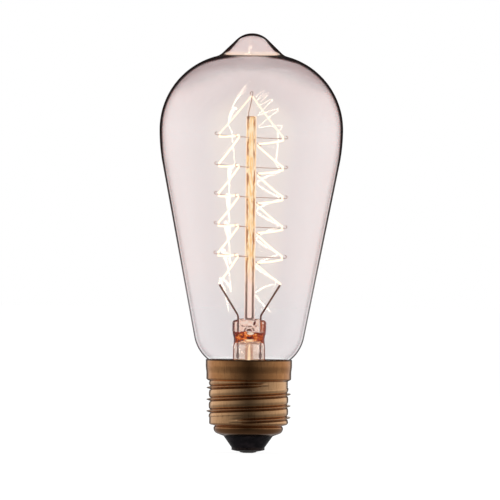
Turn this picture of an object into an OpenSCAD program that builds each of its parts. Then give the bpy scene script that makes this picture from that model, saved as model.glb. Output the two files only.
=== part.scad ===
// Filament lamp with a screw cap: a tapered glass bulb sealed to a pressed glass stem, whose clear
// rod carries five tiers of hooks and one long zigzag filament. Millimetres, +Z up along the axis,
// origin at the centre of the flat on the end contact's solder, +X to the right, -Y to the front.

/* [Glass bulb] */
// Largest diameter of the bulb
bulb_d = 57; // [50:0.5:64]
// Height of the widest place above the rim of the cap
widest_above_rim = 71.4; // [64:0.1:78]
// Height of the tip above the widest place
tip_above_widest = 29.9; // [27.5:0.1:32]
// Thickness of the bulb's wall
glass_wall = 0.8; // [0.5:0.05:1.1]
// Radius of the dome
dome_r = 23.5; // [20:0.5:26]
// Radius of the curve that leads from the widest place into the flank
belly_r = 56.6; // [40:0.2:80]
// Radius of the curve at the foot of the flank
foot_r = 12; // [9:0.5:15]
// Slope of the glass from the vertical where it leaves the cap
foot_angle = 50; // [44:1:56]
// Radius of the rounded tip
tip_r = 7; // [5:0.5:9]
// Slope of the side of the tip from the vertical
tip_angle = 46; // [40:1:54]
// Radius of the hollow round the foot of the tip
tip_hollow_r = 4; // [2:0.5:6]
// Radius of the hollow between the neck and the foot of the flank
neck_hollow_r = 2.5; // [1.5:0.1:3.5]
// Length of the neck and its foot below the rim of the cap
neck_depth = 10; // [8:0.5:11]

/* [Screw cap] */
// Thickness of the sheet brass
shell_wall = 0.35; // [0.25:0.05:0.5]
// Diameter of the opening that the insulator fills
lip_d = 15.4; // [13:0.2:17]
// Step from the thread's root in to the shoulder
shoulder_step = 1.35; // [0.8:0.05:1.6]
// Height of the shoulder
shoulder_h = 2.8; // [2.4:0.1:3.2]
// Radius of the shoulder's lower corner
shoulder_r = 1.8; // [1.4:0.1:2.4]
// Height of the straight band above that corner
shoulder_band_h = 0.4; // [0.1:0.05:0.6]
// Step from the thread's root in to the groove above the shoulder
groove_step = 1.75; // [1.4:0.05:2]
// Height of the groove
groove_h = 0.95; // [0.6:0.05:1.5]
// Crest diameter of the thread
crest_d = 26.2; // [25.6:0.1:26.6]
// Depth of the thread from crest to root
thread_depth = 0.95; // [0.8:0.05:1.1]
// Pitch of the thread
thread_pitch = 3.629; // [3:0.001:4.2]
// Width of a crest at its foot
crest_w = 1.5; // [1:0.1:2]
// Length of the threaded wall
threaded_h = 13.3; // [11:0.1:15]
// Plain length above and below the thread
thread_margin = 0.95; // [0.8:0.05:1.4]
// Turn of the thread's lower end about the axis
thread_start = -114; // [-180:1:180]
// Height of the step from the threaded wall out to the skirt
step_h = 0.65; // [0.4:0.05:1]
// Step from the crests out to the plain skirt
skirt_step = 0.07; // [0.05:0.01:0.2]
// Height of the plain skirt
skirt_h = 2.95; // [2:0.05:4]
// Step from the skirt out to the rim band
rim_step = 0.23; // [0.15:0.01:0.4]
// Height of that step
rim_step_h = 0.2; // [0.1:0.05:0.3]
// Height of the rim band
rim_h = 3.1; // [2.4:0.1:4]
// Depth of the notch in the rim where the side lead comes out
notch_h = 1.6; // [1.2:0.1:1.9]
// Diameter of the solder over that notch
side_solder_d = 2.2; // [1.6:0.1:2.6]
// Thickness of that solder
side_solder_h = 0.6; // [0.45:0.05:0.9]

/* [Contact end] */
// Diameter of the contact disc
contact_d = 10.3; // [9:0.1:11.5]
// Thickness of the contact disc
contact_wall = 0.4; // [0.3:0.05:0.6]
// Height of the straight edge of the contact disc
contact_edge_h = 0.8; // [0.4:0.05:1]
// Depth of the dome of the contact disc
contact_dome_h = 0.65; // [0.5:0.05:1.4]
// Diameter of the hole in the middle of the contact disc
contact_hole_d = 1.8; // [1.4:0.1:2.4]
// Diameter of the solder on the contact
contact_solder_d = 5.2; // [3.6:0.1:5.6]
// Diameter of the worn flat on that solder
contact_flat_d = 3; // [2:0.1:3.4]
// Thickness of that solder below the contact disc
contact_solder_h = 0.25; // [0.2:0.05:0.5]
// Height of the insulator's cone between the contact and the shell
insulator_cone_h = 3.55; // [2.5:0.05:5]
// Diameter of the hole through the insulator
insulator_hole_d = 2.6; // [2:0.1:3.6]

/* [Stem] */
// Outside diameter of the stem's tube
stem_d = 10; // [9:0.1:11]
// Thickness of the tube's wall
stem_wall = 0.8; // [0.5:0.05:1]
// Width of the flat ring where the stem is sealed to the neck
flare_lip = 1.1; // [0.9:0.05:1.5]
// Height of the press's top above the rim of the cap
press_above_rim = 12.7; // [11:0.1:15]
// Height of the whole press, its tapering foot included
press_h = 9.7; // [8.6:0.1:11]
// Height of the tapering foot of the press
press_taper_h = 4; // [3:0.1:5]
// Width of the press across the leads
press_w = 10.5; // [9.4:0.1:12]
// Thickness of the press
press_t = 4.4; // [4:0.1:5]
// Radius of the press's upper corners
press_corner_r = 1.6; // [0.8:0.1:2.4]
// Outside diameter of the exhaust tube
exhaust_d = 3.5; // [3:0.1:4.4]
// Thickness of the exhaust tube's wall
exhaust_wall = 0.8; // [0.5:0.05:1]
// Length of the exhaust tube below the rim of the cap
exhaust_depth = 15.5; // [13:0.5:17]
// Height of the exhaust tube's end in the foot of the press
exhaust_seat = 2.4; // [1:0.1:3]
// Distance of the exhaust hole below the press's top
exhaust_hole_drop = 3.8; // [3.5:0.1:4.6]

/* [Rod and hooks] */
// Diameter of the clear rod
rod_d = 3.3; // [2.8:0.1:3.5]
// Radius of the rod's upper edge
rod_edge_r = 0.5; // [0.2:0.05:0.6]
// Length of the rod above the press
rod_h = 62.9; // [58:0.1:68]
// Depth of the rod's foot in the press
rod_seat = 2.3; // [1.5:0.1:2.6]
// Number of tiers of hooks
tiers = 5; // [3:1:5]
// Distance of the top tier below the rod's top
first_tier_drop = 6.7; // [4:0.1:9]
// Distance from one tier to the next
tier_pitch = 9.25; // [7:0.05:10]
// Turn of the tiers about the axis
arm_turn = -15; // [-25:1:-5]
// Further turn of the front hooks, towards the left ones
front_turn = -9; // [-15:1:5]
// Distance from the axis to the strand at a hook
anchor_r = 10.3; // [8:0.1:12]
// Rise of the right hooks from the rod to the strand
right_rise = -0.3; // [-1:0.1:1]
// Rise of the back hooks
back_rise = -2.3; // [-2.8:0.1:0]
// Rise of the left hooks
left_rise = 0.8; // [-1:0.1:1.4]
// Rise of the front hooks
front_rise = 0.1; // [-1:0.1:1]
// Diameter of the hook wire
hook_wire_d = 0.23; // [0.18:0.01:0.3]
// Depth of a hook wire in the rod
hook_seat = 1; // [0.6:0.05:1.2]
// Length of a hook past the strand
hook_past = 1.4; // [1.2:0.05:2]
// Radius of the bend at a hook's end
hook_bend_r = 0.4; // [0.3:0.05:0.5]
// Length of the wire after that bend
hook_return = 0.25; // [0.1:0.05:0.3]
// Diameter of the wire of the top hook
top_wire_d = 0.3; // [0.24:0.01:0.4]
// Height of the top hook above the rod
top_hook_h = 5.5; // [4:0.1:11]
// Height of the loop of the top hook round the strand
top_loop_h = 2.05; // [1.8:0.05:3]
// Lean of that loop to each side
top_loop_x = 0.4; // [0:0.05:0.6]
// Distance of the top hook's foot from the rod's middle
top_foot_x = 0.9; // [0.5:0.05:1]

/* [Filament] */
// Thickness of the coiled strand
strand_d = 0.64; // [0.4:0.02:0.8]
// Sag of a span at its middle
strand_sag = 0.2; // [0:0.05:0.8]
// Clearance between the strand and a hook
strand_gap = 0.1; // [0.05:0.01:0.2]

/* [Leads] */
// Diameter of the inner leads and of their seal wires
lead_d = 0.6; // [0.4:0.02:0.7]
// Distance of a lead from the middle of the press
lead_x = 3.5; // [3:0.05:3.6]
// Distance of a lead's tip from the axis
lead_tip_x = 9.4; // [8:0.1:11]
// Height of a lead's tip above the press
lead_tip_h = 10.5; // [8:0.1:12]
// Height of a lead's bend above the press
lead_bend_h = 0.9; // [0.6:0.1:1.5]
// Depth of an inner lead in the press
lead_seat = 2.2; // [1.6:0.1:2.6]
// Length of a seal wire below the press
seal_past = 0.8; // [0.4:0.1:1.5]
// Diameter of the outer leads
outer_lead_d = 0.4; // [0.3:0.02:0.44]
// Diameter of a weld knot
knot_d = 0.95; // [0.7:0.05:1.1]
// Length of a weld knot
knot_h = 2; // [1.4:0.1:2.6]
// Distance of the side lead below the stem's flare
lead_drop = 0.9; // [0.5:0.1:1.5]
// Length of an outer lead that each bend takes on both sides of its corner
lead_turn = 0.8; // [0.5:0.1:1]
// Width of the channel for the side lead through the cement
lead_channel_d = 0.9; // [0.8:0.05:1.1]

/* [Fits] */
// Clearance of a wire in glass or solder
wire_fit = 0.03; // [0.02:0.01:0.06]
// Clearance of the rod and the exhaust tube in the press
rod_fit = 0.03; // [0.02:0.01:0.06]
// Clearance between the neck and the threaded wall
neck_fit = 0.6; // [0.55:0.01:0.7]
// Clearance between the glass and the rim of the cap
rim_fit = 0.06; // [0.03:0.01:0.12]
// Clearance of the cement to the glass and the brass
cement_fit = 0.04; // [0.02:0.01:0.08]
// Clearance of the insulator in the shell
insulator_fit = 0.03; // [0.02:0.01:0.06]

/* [Hidden] */

glass_colour = [0.90, 0.87, 0.87, 0.35];
brass_colour = [0.60, 0.43, 0.27];
nickel_colour = [0.45, 0.40, 0.36];
copper_colour = [0.72, 0.36, 0.20];
solder_colour = [0.42, 0.40, 0.40];

$fn = 64;
// Straight cuts run this far past the faces that they open
past = 0.5;
up = [0, 0, 1];

// Heights, from the flat on the solder upwards
centre_lead_z = contact_solder_h + contact_wall;
contact_edge_z = contact_solder_h + contact_dome_h;
insulator_z = contact_edge_z + contact_edge_h;
shell_z = insulator_z + insulator_cone_h;
shoulder_z = shell_z + shoulder_h;
threaded_z = shoulder_z + groove_h;
threaded_top_z = threaded_z + threaded_h;
skirt_z = threaded_top_z + step_h;
rim_band_z = skirt_z + skirt_h;
rim_z = rim_band_z + rim_h;
widest_z = rim_z + widest_above_rim;
tip_z = widest_z + tip_above_widest;
neck_z = rim_z - neck_depth;
press_z = rim_z + press_above_rim;
press_foot_z = press_z - press_h;
press_flat_z = press_foot_z + press_taper_h;
rod_top_z = press_z + rod_h;
exhaust_z = rim_z - exhaust_depth;
exhaust_top_z = press_foot_z + exhaust_seat;

// Points on a circle about c, from the angle a0 to a1 in n equal steps
function arc(c, r, a0, a1, n) =
    [for (i = [0 : n]) let (a = a0 + (a1 - a0) * i / n) c + r * [cos(a), sin(a)]];
function unit(v) = v / norm(v);
// The left-hand side of a step from p to q
function left_of(p, q) = let (d = unit(q - p)) [-d.y, d.x];
// The points moved to their left by w, so that both lines keep that distance
function inset(pts, w) =
    [for (i = [0 : len(pts) - 1])
        let (
            before = left_of(pts[max(i - 1, 0)], pts[max(i, 1)]),
            after = left_of(pts[min(i, len(pts) - 2)], pts[min(i + 1, len(pts) - 1)]))
        pts[i] + w * (before + after) / (1 + before * after)];
function reversed(pts) = [for (i = [len(pts) - 1 : -1 : 0]) pts[i]];
// A closed outline between a line of points and the same line moved to its left
function wall(pts, w) = concat(pts, reversed(inset(pts, w)));

// Radii of the cap, which all follow the thread's crests
root_r = crest_d / 2 - thread_depth;
shoulder_outer_r = root_r - shoulder_step;
groove_r = root_r - groove_step;
skirt_r = crest_d / 2 + skirt_step;
rim_r = skirt_r + rim_step;

// Glass outline in radius and height. The foot curve starts at the rim of the cap, the flank is the
// common tangent of the foot and the belly, and the two hollows touch what lies on each side.
rim_inner_r = rim_r - shell_wall;
neck_r = root_r - shell_wall - neck_fit;
foot_c = [rim_inner_r - rim_fit, rim_z] - foot_r * [cos(foot_angle), -sin(foot_angle)];
belly_c = [bulb_d / 2 - belly_r, widest_z];
foot_to_belly = belly_c - foot_c;
flank_angle = acos((foot_r - belly_r) / norm(foot_to_belly))
    - atan2(foot_to_belly.y, foot_to_belly.x);
neck_hollow_c = [neck_r + neck_hollow_r,
    foot_c.y - sqrt(pow(foot_r + neck_hollow_r, 2) - pow(neck_r + neck_hollow_r - foot_c.x, 2))];
neck_turn = atan2(foot_c.y - neck_hollow_c.y, neck_hollow_c.x - foot_c.x);
dome_c = [bulb_d / 2 - dome_r, widest_z];
tip_c = [0, tip_z - tip_r];
tip_normal = [cos(tip_angle), sin(tip_angle)];
tip_hollow_turn = tip_angle
    + acos((tip_normal * (tip_c - dome_c) + tip_r + tip_hollow_r) / (dome_r + tip_hollow_r));
tip_hollow_c = dome_c + (dome_r + tip_hollow_r) * [cos(tip_hollow_turn), sin(tip_hollow_turn)];
glass_outline = concat(
    [[neck_r, neck_z]],
    arc(neck_hollow_c, neck_hollow_r, 180, 180 - neck_turn, 6),
    arc(foot_c, foot_r, 1 - neck_turn, -flank_angle, 10),
    arc(belly_c, belly_r, 1 - flank_angle, 0, 8),
    arc(dome_c, dome_r, 4, tip_hollow_turn, 18),
    arc(tip_hollow_c, tip_hollow_r, 176 + tip_hollow_turn, 180 + tip_angle, 5),
    arc(tip_c, tip_r, tip_angle, 84, 7));
glass_inside = inset(glass_outline, glass_wall);

module glass_envelope() {
    color(glass_colour)
        rotate_extrude()
            polygon(concat(
                glass_outline,
                [[0, tip_z], [0, tip_z - glass_wall]],
                reversed(glass_inside)));
}

// Stem: a tube that flares out to the neck below and ends in a flat press above
stem_r = stem_d / 2;
flare_r = neck_r - flare_lip - stem_r;
flare_outline = concat(
    [[neck_r, neck_z], [neck_r - flare_lip, neck_z]],
    arc([stem_r + flare_r, neck_z + flare_r], flare_r, 262, 180, 8),
    [[stem_r, press_foot_z + past]]);
exhaust_hole_z = press_z - exhaust_hole_drop;
exhaust_bore_r = exhaust_d / 2 - exhaust_wall;

module press() {
    half_w = press_w / 2;
    half_t = press_t / 2;
    // Outlines of the press seen from its edge and from its face
    edge = [
        [-half_w - past, press_foot_z], [half_w + past, press_foot_z],
        [half_t, press_flat_z], [half_t, press_z],
        [-half_t, press_z], [-half_t, press_flat_z]];
    face = concat(
        [[-half_w - past, press_foot_z], [half_w + past, press_foot_z],
         [half_w + past, press_z - press_corner_r - past],
         [half_w, press_z - press_corner_r]],
        arc([half_w - press_corner_r, press_z - press_corner_r], press_corner_r, 15, 90, 5),
        arc([press_corner_r - half_w, press_z - press_corner_r], press_corner_r, 90, 165, 5),
        [[-half_w, press_z - press_corner_r],
         [-half_w - past, press_z - press_corner_r - past]]);
    intersection() {
        translate([0, 0, press_foot_z])
            cylinder(r = half_w, h = press_h);
        rotate([90, 0, 90])
            translate([0, 0, -press_w])
                linear_extrude(2 * press_w)
                    polygon(edge);
        rotate([90, 0, 0])
            translate([0, 0, -press_w])
                linear_extrude(2 * press_w)
                    polygon(face);
    }
}

module stem_flare() {
    seal_bore_r = lead_d / 2 + wire_fit;
    color(glass_colour)
        difference() {
            union() {
                rotate_extrude()
                    polygon(reversed(wall(reversed(flare_outline), -stem_wall)));
                press();
            }
            for (side = [-1, 1])
                translate([side * lead_x, 0, press_foot_z - past])
                    cylinder(r = seal_bore_r, h = press_h + 2 * past);
            translate([0, 0, press_z - rod_seat])
                cylinder(r = rod_d / 2 + rod_fit, h = rod_seat + past);
            translate([0, 0, press_foot_z - past])
                cylinder(r = exhaust_d / 2 + rod_fit, h = exhaust_seat + past);
            translate([0, 0, exhaust_top_z - past])
                cylinder(r = exhaust_bore_r, h = exhaust_hole_z - exhaust_top_z + past);
            translate([0, 0, exhaust_hole_z])
                rotate([90, 0, 0])
                    cylinder(r = exhaust_bore_r, h = press_t / 2 + past);
        }
}

module exhaust_tube() {
    r = exhaust_d / 2;
    color(glass_colour)
        difference() {
            union() {
                translate([0, 0, exhaust_z + r])
                    cylinder(r = r, h = exhaust_top_z - exhaust_z - r);
                translate([0, 0, exhaust_z + r])
                    sphere(r = r);
            }
            translate([0, 0, exhaust_z + r])
                cylinder(r = exhaust_bore_r, h = exhaust_top_z - exhaust_z);
        }
}

// Directions and rises of the four hooks of a tier: right, back, left, front
arm_rises = [right_rise, back_rise, left_rise, front_rise];
function arm_angle(arm) = arm_turn + 90 * arm + (arm == 3 ? front_turn : 0);
function tier_z(tier) = rod_top_z - first_tier_drop - tier_pitch * (tier - 1);
function anchor(tier, arm) = [
    anchor_r * cos(arm_angle(arm)),
    anchor_r * sin(arm_angle(arm)),
    tier_z(tier) + arm_rises[arm]];

// What is drawn along +X is laid along one hook of a tier
module along_arm(tier, arm) {
    translate([0, 0, tier_z(tier)])
        rotate([0, -atan(arm_rises[arm] / anchor_r), arm_angle(arm)])
            children();
}

module support_rod() {
    color(glass_colour)
        difference() {
            rotate_extrude()
                polygon(concat(
                    [[0, press_z - rod_seat], [rod_d / 2, press_z - rod_seat]],
                    arc([rod_d / 2 - rod_edge_r, rod_top_z - rod_edge_r], rod_edge_r, 0, 90, 6),
                    [[0, rod_top_z]]));
            for (tier = [1 : tiers], arm = [0 : 3])
                along_arm(tier, arm)
                    translate([rod_d / 2 - hook_seat, 0, 0])
                        rotate([0, 90, 0])
                            cylinder(r = hook_wire_d / 2 + wire_fit, h = hook_seat + past);
            translate([-top_foot_x, 0, rod_top_z - hook_seat])
                cylinder(r = top_wire_d / 2 + wire_fit, h = hook_seat + past);
        }
}

// A straight wire from the rod to just past the strand, turned back above itself at its end
module hook_wire() {
    r = hook_wire_d / 2;
    foot_x = rod_d / 2 - hook_seat;
    bend_x = anchor_r + hook_past - hook_bend_r;
    translate([foot_x, 0, 0])
        rotate([0, 90, 0])
            cylinder(r = r, h = bend_x - foot_x);
    translate([bend_x, 0, hook_bend_r])
        rotate([90, 0, 0])
            rotate([0, 0, -90])
                rotate_extrude(angle = 180)
                    translate([hook_bend_r, 0])
                        circle(r = r);
    translate([bend_x - hook_return, 0, 2 * hook_bend_r])
        rotate([0, 90, 0])
            cylinder(r = r, h = hook_return);
}

module support_wires(tier) {
    color(nickel_colour)
        for (arm = [0 : 3])
            along_arm(tier, arm)
                hook_wire();
}

// A tube of the given thickness along a path, closed at both ends. The direction aside, along which
// no span runs, sets where the tube's edges start.
aside = [0.31, 0.87, 0.39];
function tangent(path, i) =
    unit(path[min(i + 1, len(path) - 1)] - path[max(i - 1, 0)]);
function square_to(v, t) = unit(v - (v * t) * t);
function normals(path, first) =
    [for (i = 0, n = square_to(first, tangent(path, 0));
          i < len(path);
          n = square_to(n, tangent(path, min(i + 1, len(path) - 1))), i = i + 1) n];

module tube(path, d, sides, first = aside) {
    n = normals(path, first);
    points = [for (i = [0 : len(path) - 1], k = [0 : sides - 1])
        let (t = tangent(path, i), a = 360 * k / sides)
        path[i] + d / 2 * (cos(a) * n[i] + sin(a) * cross(t, n[i]))];
    last = (len(path) - 1) * sides;
    sheet = [for (i = [0 : len(path) - 2], k = [0 : sides - 1])
        let (a = i * sides + k, b = i * sides + (k + 1) % sides)
        each [[a, b + sides, b], [a, a + sides, b + sides]]];
    ends = [for (k = [1 : sides - 2])
        each [[0, k, k + 1], [last, last + k + 1, last + k]]];
    polyhedron(points = points, faces = concat(sheet, ends));
}

// Top hook: up from the rod, forward under the strand, and back over it in an open loop
top_bar_z = rod_top_z + top_hook_h;
top_bar_y = hook_bend_r + strand_d + strand_gap;
top_hook_path = concat(
    [[-top_foot_x, 0, rod_top_z - hook_seat],
     [-top_foot_x, 0, rod_top_z + hook_seat],
     [-top_foot_x / 2, top_bar_y, rod_top_z + top_hook_h / 2],
     [0, top_bar_y + hook_bend_r, top_bar_z - 2 * hook_bend_r]],
    [for (a = [15 : 25 : 90])
        [0, top_bar_y + hook_bend_r * cos(a), top_bar_z + hook_bend_r * (sin(a) - 1)]],
    [for (a = [-90 : -25 : -165])
        [0, -top_bar_y + hook_bend_r * cos(a), top_bar_z + hook_bend_r * (sin(a) + 1)]],
    [for (a = [155 : -25 : 30])
        [-top_loop_x * sin(2 * a), (top_bar_y + hook_bend_r) * cos(a),
         top_bar_z + hook_bend_r + (top_loop_h - hook_bend_r) * sin(a)]]);

module top_hook() {
    color(nickel_colour)
        tube(top_hook_path, top_wire_d, 8);
}

// Filament: one strand from the left lead up the front and left hooks, over the top hook, and down
// the right and back hooks to the right lead. At a hook it makes a half turn round the wire.
wrap_r = (strand_d + hook_wire_d) / 2 + strand_gap;
top_wrap_r = (strand_d + top_wire_d) / 2 + strand_gap;
half_wrap = 72;
half_top_wrap = 56;
function turn(centre, r, from_dir, over_dir, a0, a1) =
    [for (i = [0 : 3]) let (a = a0 + (a1 - a0) * i / 3)
        centre + r * (sin(a) * from_dir + cos(a) * over_dir)];
// Half turn at a hook. swing is the side that the strand goes round, climb is 1 upwards, -1 down
function hook_turn(tier, arm, swing, climb) =
    let (angle = arm_angle(arm), side = swing * [-sin(angle), cos(angle), 0])
    turn(anchor(tier, arm), wrap_r, climb * up, side, -half_wrap, half_wrap);
lead_bend = [lead_x, 0, press_z + lead_bend_h];
lead_tip = [lead_tip_x, 0, press_z + lead_tip_h];
strand_end = lead_tip + (strand_d + strand_gap) / 2 * unit(lead_tip - lead_bend);
function mirrored_x(p) = [-p.x, p.y, p.z];
stops = concat(
    [[mirrored_x(strand_end)]],
    [for (tier = [tiers : -1 : 1])
        each [hook_turn(tier, 3, 1, 1), hook_turn(tier, 2, -1, 1)]],
    [turn([0, 0, top_bar_z], top_wrap_r, [1, 0, 0], up, -half_top_wrap, half_top_wrap)],
    [for (tier = [1 : tiers])
        each [hook_turn(tier, 0, -1, -1), hook_turn(tier, 1, 1, -1)]],
    [[strand_end]]);
function span(p, q, n) =
    [for (i = [1 : n]) let (u = i / (n + 1))
        p + (q - p) * u - 4 * u * (1 - u) * strand_sag * up];
function strand_path(n) =
    [for (i = [0 : len(stops) - 1])
        each concat(
            stops[i],
            i + 1 < len(stops) ? span(stops[i][len(stops[i]) - 1], stops[i + 1][0], n) : [])];

// Least gap of the strand to itself, between points more than eight thicknesses apart along it
function lengths(path) =
    [for (i = 0, s = 0;
          i < len(path);
          i = i + 1, s = s + norm(path[min(i, len(path) - 1)] - path[i - 1])) s];
function least_gap(path) =
    let (s = lengths(path))
    min([for (i = [0 : len(path) - 2], j = [i + 1 : len(path) - 1])
        if (s[j] - s[i] > 8 * strand_d) norm(path[j] - path[i]) - strand_d]);
fine_strand = strand_path(12);
echo(strand_length = lengths(fine_strand)[len(fine_strand) - 1]);
echo(strand_least_gap = least_gap(fine_strand));

module filament() {
    color([1.0, 0.78, 0.42])
        tube(strand_path(2), strand_d, 6);
}

module inner_lead(side) {
    seat = [side * lead_x, 0, press_z - lead_seat];
    bend = [side * lead_bend.x, 0, lead_bend.z];
    tip = [side * lead_tip.x, 0, lead_tip.z];
    color(nickel_colour)
        tube([seat, bend - [0, 0, lead_d / 2], bend + lead_d / 2 * unit(tip - bend), tip],
            lead_d, 10, [0, 1, 0]);
}

// Seal wire: straight through the press, from the inner lead down to the weld knot
seal_foot_z = press_foot_z - seal_past;
module seal_wire(side) {
    color(copper_colour)
        translate([side * lead_x, 0, seal_foot_z])
            cylinder(d = lead_d, h = press_z - lead_seat - seal_foot_z);
}

// Each knot tapers to the wires that it joins
knot_x = min(lead_x, stem_r - stem_wall - knot_d / 2 - wire_fit);
module weld_knots() {
    taper_h = knot_h / 4;
    outline = [
        [0, 0], [outer_lead_d / 2, 0], [knot_d / 2, taper_h],
        [knot_d / 2, knot_h - taper_h], [lead_d / 2, knot_h], [0, knot_h]];
    color(nickel_colour)
        for (side = [-1, 1])
            translate([side * knot_x, 0, seal_foot_z - knot_h])
                rotate_extrude()
                    polygon(outline);
}

// Outer leads: down inside the stem, one out to the rim, the other to the contact
lead_gap_r = root_r - shell_wall - neck_fit / 2;
lead_under_z = neck_z - stem_wall - lead_drop;
notch_z = rim_z - notch_h;
lead_out_z = notch_z + outer_lead_d;
// The same path with three points in place of each corner
function bent(path) = concat(
    [path[0]],
    [for (i = [1 : len(path) - 2])
        let (
            p = path[i],
            before = p + lead_turn * unit(path[i - 1] - p),
            after = p + lead_turn * unit(path[i + 1] - p))
        each [before, (before + 2 * p + after) / 4, after]],
    [path[len(path) - 1]]);
side_lead_path = bent([
    [-knot_x, 0, seal_foot_z - knot_h],
    [-knot_x, 0, lead_under_z],
    [0, lead_gap_r, lead_under_z],
    [0, lead_gap_r, neck_hollow_c.y],
    [0, rim_inner_r - outer_lead_d, lead_out_z],
    [0, rim_r + side_solder_h - outer_lead_d / 2, lead_out_z]]);
centre_lead_path = bent([
    [knot_x, 0, seal_foot_z - knot_h],
    [knot_x, 0, exhaust_z],
    [0, 0, threaded_z],
    [0, 0, centre_lead_z]]);

module side_lead() {
    color(copper_colour)
        tube(side_lead_path, outer_lead_d, 8);
}

module centre_lead() {
    color(copper_colour)
        tube(centre_lead_path, outer_lead_d, 8, [0, 1, 0]);
}

// Screw shell: sheet brass, with the thread's crest wound on its straight wall
shoulder_steps = 10;
shoulder_sweep = 70;
shoulder_c = [shoulder_outer_r - shoulder_r, shoulder_z - shoulder_band_h];
shell_outline = concat(
    [[lip_d / 2, shell_z]],
    arc(shoulder_c, shoulder_r, -shoulder_sweep, 0, shoulder_steps),
    [[shoulder_outer_r, shoulder_z],
     [groove_r, shoulder_z + groove_h / 3],
     [root_r, threaded_z], [root_r, threaded_top_z],
     [skirt_r, skirt_z], [skirt_r, rim_band_z],
     [rim_r, rim_band_z + rim_step_h], [rim_r, rim_z]]);
crest_steps = 30;
fade_steps = 5;
crest_rise = threaded_h - 2 * thread_margin;
crest_count = ceil(crest_steps * crest_rise / thread_pitch);

module thread_crest() {
    sunk = root_r - shell_wall / 3;
    // Profile of the crest, as a part of its height and of half its width
    profile = [[0, -1.15], [0.13, -1], [0.6, -0.42], [1, -0.22],
               [1, 0.22], [0.6, 0.42], [0.13, 1], [0, 1.15]];
    sides = len(profile);
    points = [for (i = [0 : crest_count], p = profile)
        let (
            a = thread_start + 360 * i / crest_steps,
            z = threaded_z + thread_margin + thread_pitch * i / crest_steps,
            fade = min(1, (i + 0.6) / fade_steps, (crest_count - i + 0.6) / fade_steps),
            r = p[0] == 0 ? sunk : root_r + thread_depth * p[0] * fade)
        [r * cos(a), r * sin(a), z + p[1] * crest_w / 2]];
    last = crest_count * sides;
    sheet = [for (i = [0 : crest_count - 1], k = [0 : sides - 1])
        let (a = i * sides + k, b = i * sides + (k + 1) % sides)
        each [[a, b, b + sides], [a, b + sides, a + sides]]];
    ends = [for (k = [1 : sides - 2])
        each [[0, k + 1, k], [last, last + k, last + k + 1]]];
    polyhedron(points = points, faces = concat(sheet, ends));
}

module screw_shell() {
    color(brass_colour)
        difference() {
            union() {
                rotate_extrude()
                    polygon(wall(shell_outline, shell_wall));
                thread_crest();
            }
            // Notch at the back of the rim, where the side lead comes out
            translate([-outer_lead_d, 0, notch_z])
                cube([2 * outer_lead_d, rim_r + past, rim_h]);
        }
}

// Insulator: black glass that fills the shell's bottom and carries the contact
module insulator() {
    inner = inset(shell_outline, shell_wall + insulator_fit);
    groove_i = shoulder_steps + 3;
    seat_r = contact_d / 2 - contact_wall - insulator_fit;
    color([0.08, 0.07, 0.08])
        rotate_extrude()
            polygon(concat(
                contact_dome(contact_wall + insulator_fit, insulator_hole_d / 2, seat_r),
                [[seat_r, insulator_z],
                 [contact_d / 2, insulator_z],
                 [lip_d / 2 - insulator_fit, shell_z],
                 [lip_d / 2 - insulator_fit, inner[0].y]],
                [for (i = [1 : groove_i]) inner[i]],
                [[insulator_hole_d / 2, inner[groove_i].y]]));
}

// The contact's dome in radius and height, w inside its underside, from x0 to x1
contact_dome_r = (pow(contact_d / 2, 2) + pow(contact_dome_h, 2)) / (2 * contact_dome_h);
function contact_dome(w, x0, x1) =
    let (r = contact_dome_r - w)
    arc([0, contact_solder_h + contact_dome_r], r, asin(x0 / r) - 90, asin(x1 / r) - 90, 8);

module centre_contact() {
    inner_r = contact_d / 2 - contact_wall;
    color(brass_colour)
        rotate_extrude()
            polygon(concat(
                contact_dome(0, contact_hole_d / 2, contact_d / 2),
                [[contact_d / 2, insulator_z], [inner_r, insulator_z]],
                reversed(contact_dome(contact_wall, contact_hole_d / 2, inner_r))));
}

// Solder under the contact, up through its hole, with the centre lead's end in it
module contact_solder() {
    hole_r = contact_hole_d / 2;
    color(solder_colour)
        difference() {
            rotate_extrude()
                polygon(concat(
                    [[0, 0], [contact_flat_d / 2, 0], [contact_solder_d / 2, contact_solder_h]],
                    reversed(contact_dome(0, hole_r, contact_solder_d / 2)),
                    [[hole_r, contact_edge_z], [0, contact_edge_z]]));
            translate([0, 0, centre_lead_z])
                cylinder(r = outer_lead_d / 2 + wire_fit, h = contact_edge_z);
        }
}

// Solder on the rim band over the notch, round the side lead's end
module side_solder() {
    bore_r = outer_lead_d / 2 + wire_fit;
    solder_r = side_solder_d / 2;
    color(solder_colour)
        translate([0, rim_r + wire_fit, lead_out_z])
            rotate([-90, 0, 0])
                rotate_extrude()
                    polygon(concat(
                        [[bore_r, side_solder_h], [bore_r, 0]],
                        [for (a = [0 : 18 : 72]) [solder_r * cos(a), side_solder_h * sin(a)]]));
}

module capping_cement() {
    outer_r = skirt_r - shell_wall - cement_fit;
    low_z = skirt_z + shell_wall;
    color([0.62, 0.58, 0.52])
        difference() {
            translate([0, 0, low_z])
                cylinder(r = outer_r, h = neck_hollow_c.y - low_z);
            translate([0, 0, low_z - past])
                cylinder(r = neck_r + cement_fit, h = rim_h + skirt_h);
            translate([0, neck_r + lead_channel_d / 2, low_z - past])
                cylinder(d = lead_channel_d, h = rim_h + skirt_h);
        }
}

glass_envelope();
stem_flare();
exhaust_tube();
support_rod();
top_hook();
for (tier = [1 : tiers])
    support_wires(tier);
filament();
inner_lead(-1);  // inner_lead_left
inner_lead(1);  // inner_lead_right
seal_wire(-1);  // seal_wire_left
seal_wire(1);  // seal_wire_right
weld_knots();
side_lead();
centre_lead();
screw_shell();
insulator();
centre_contact();
contact_solder();
side_solder();
capping_cement();
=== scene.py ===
"""Looks of a clear filament lamp with a brass screw cap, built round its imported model.

Metres, in the model's frame: +Z up the lamp's axis from the end contact, -Y to the front.
"""

import math

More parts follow.
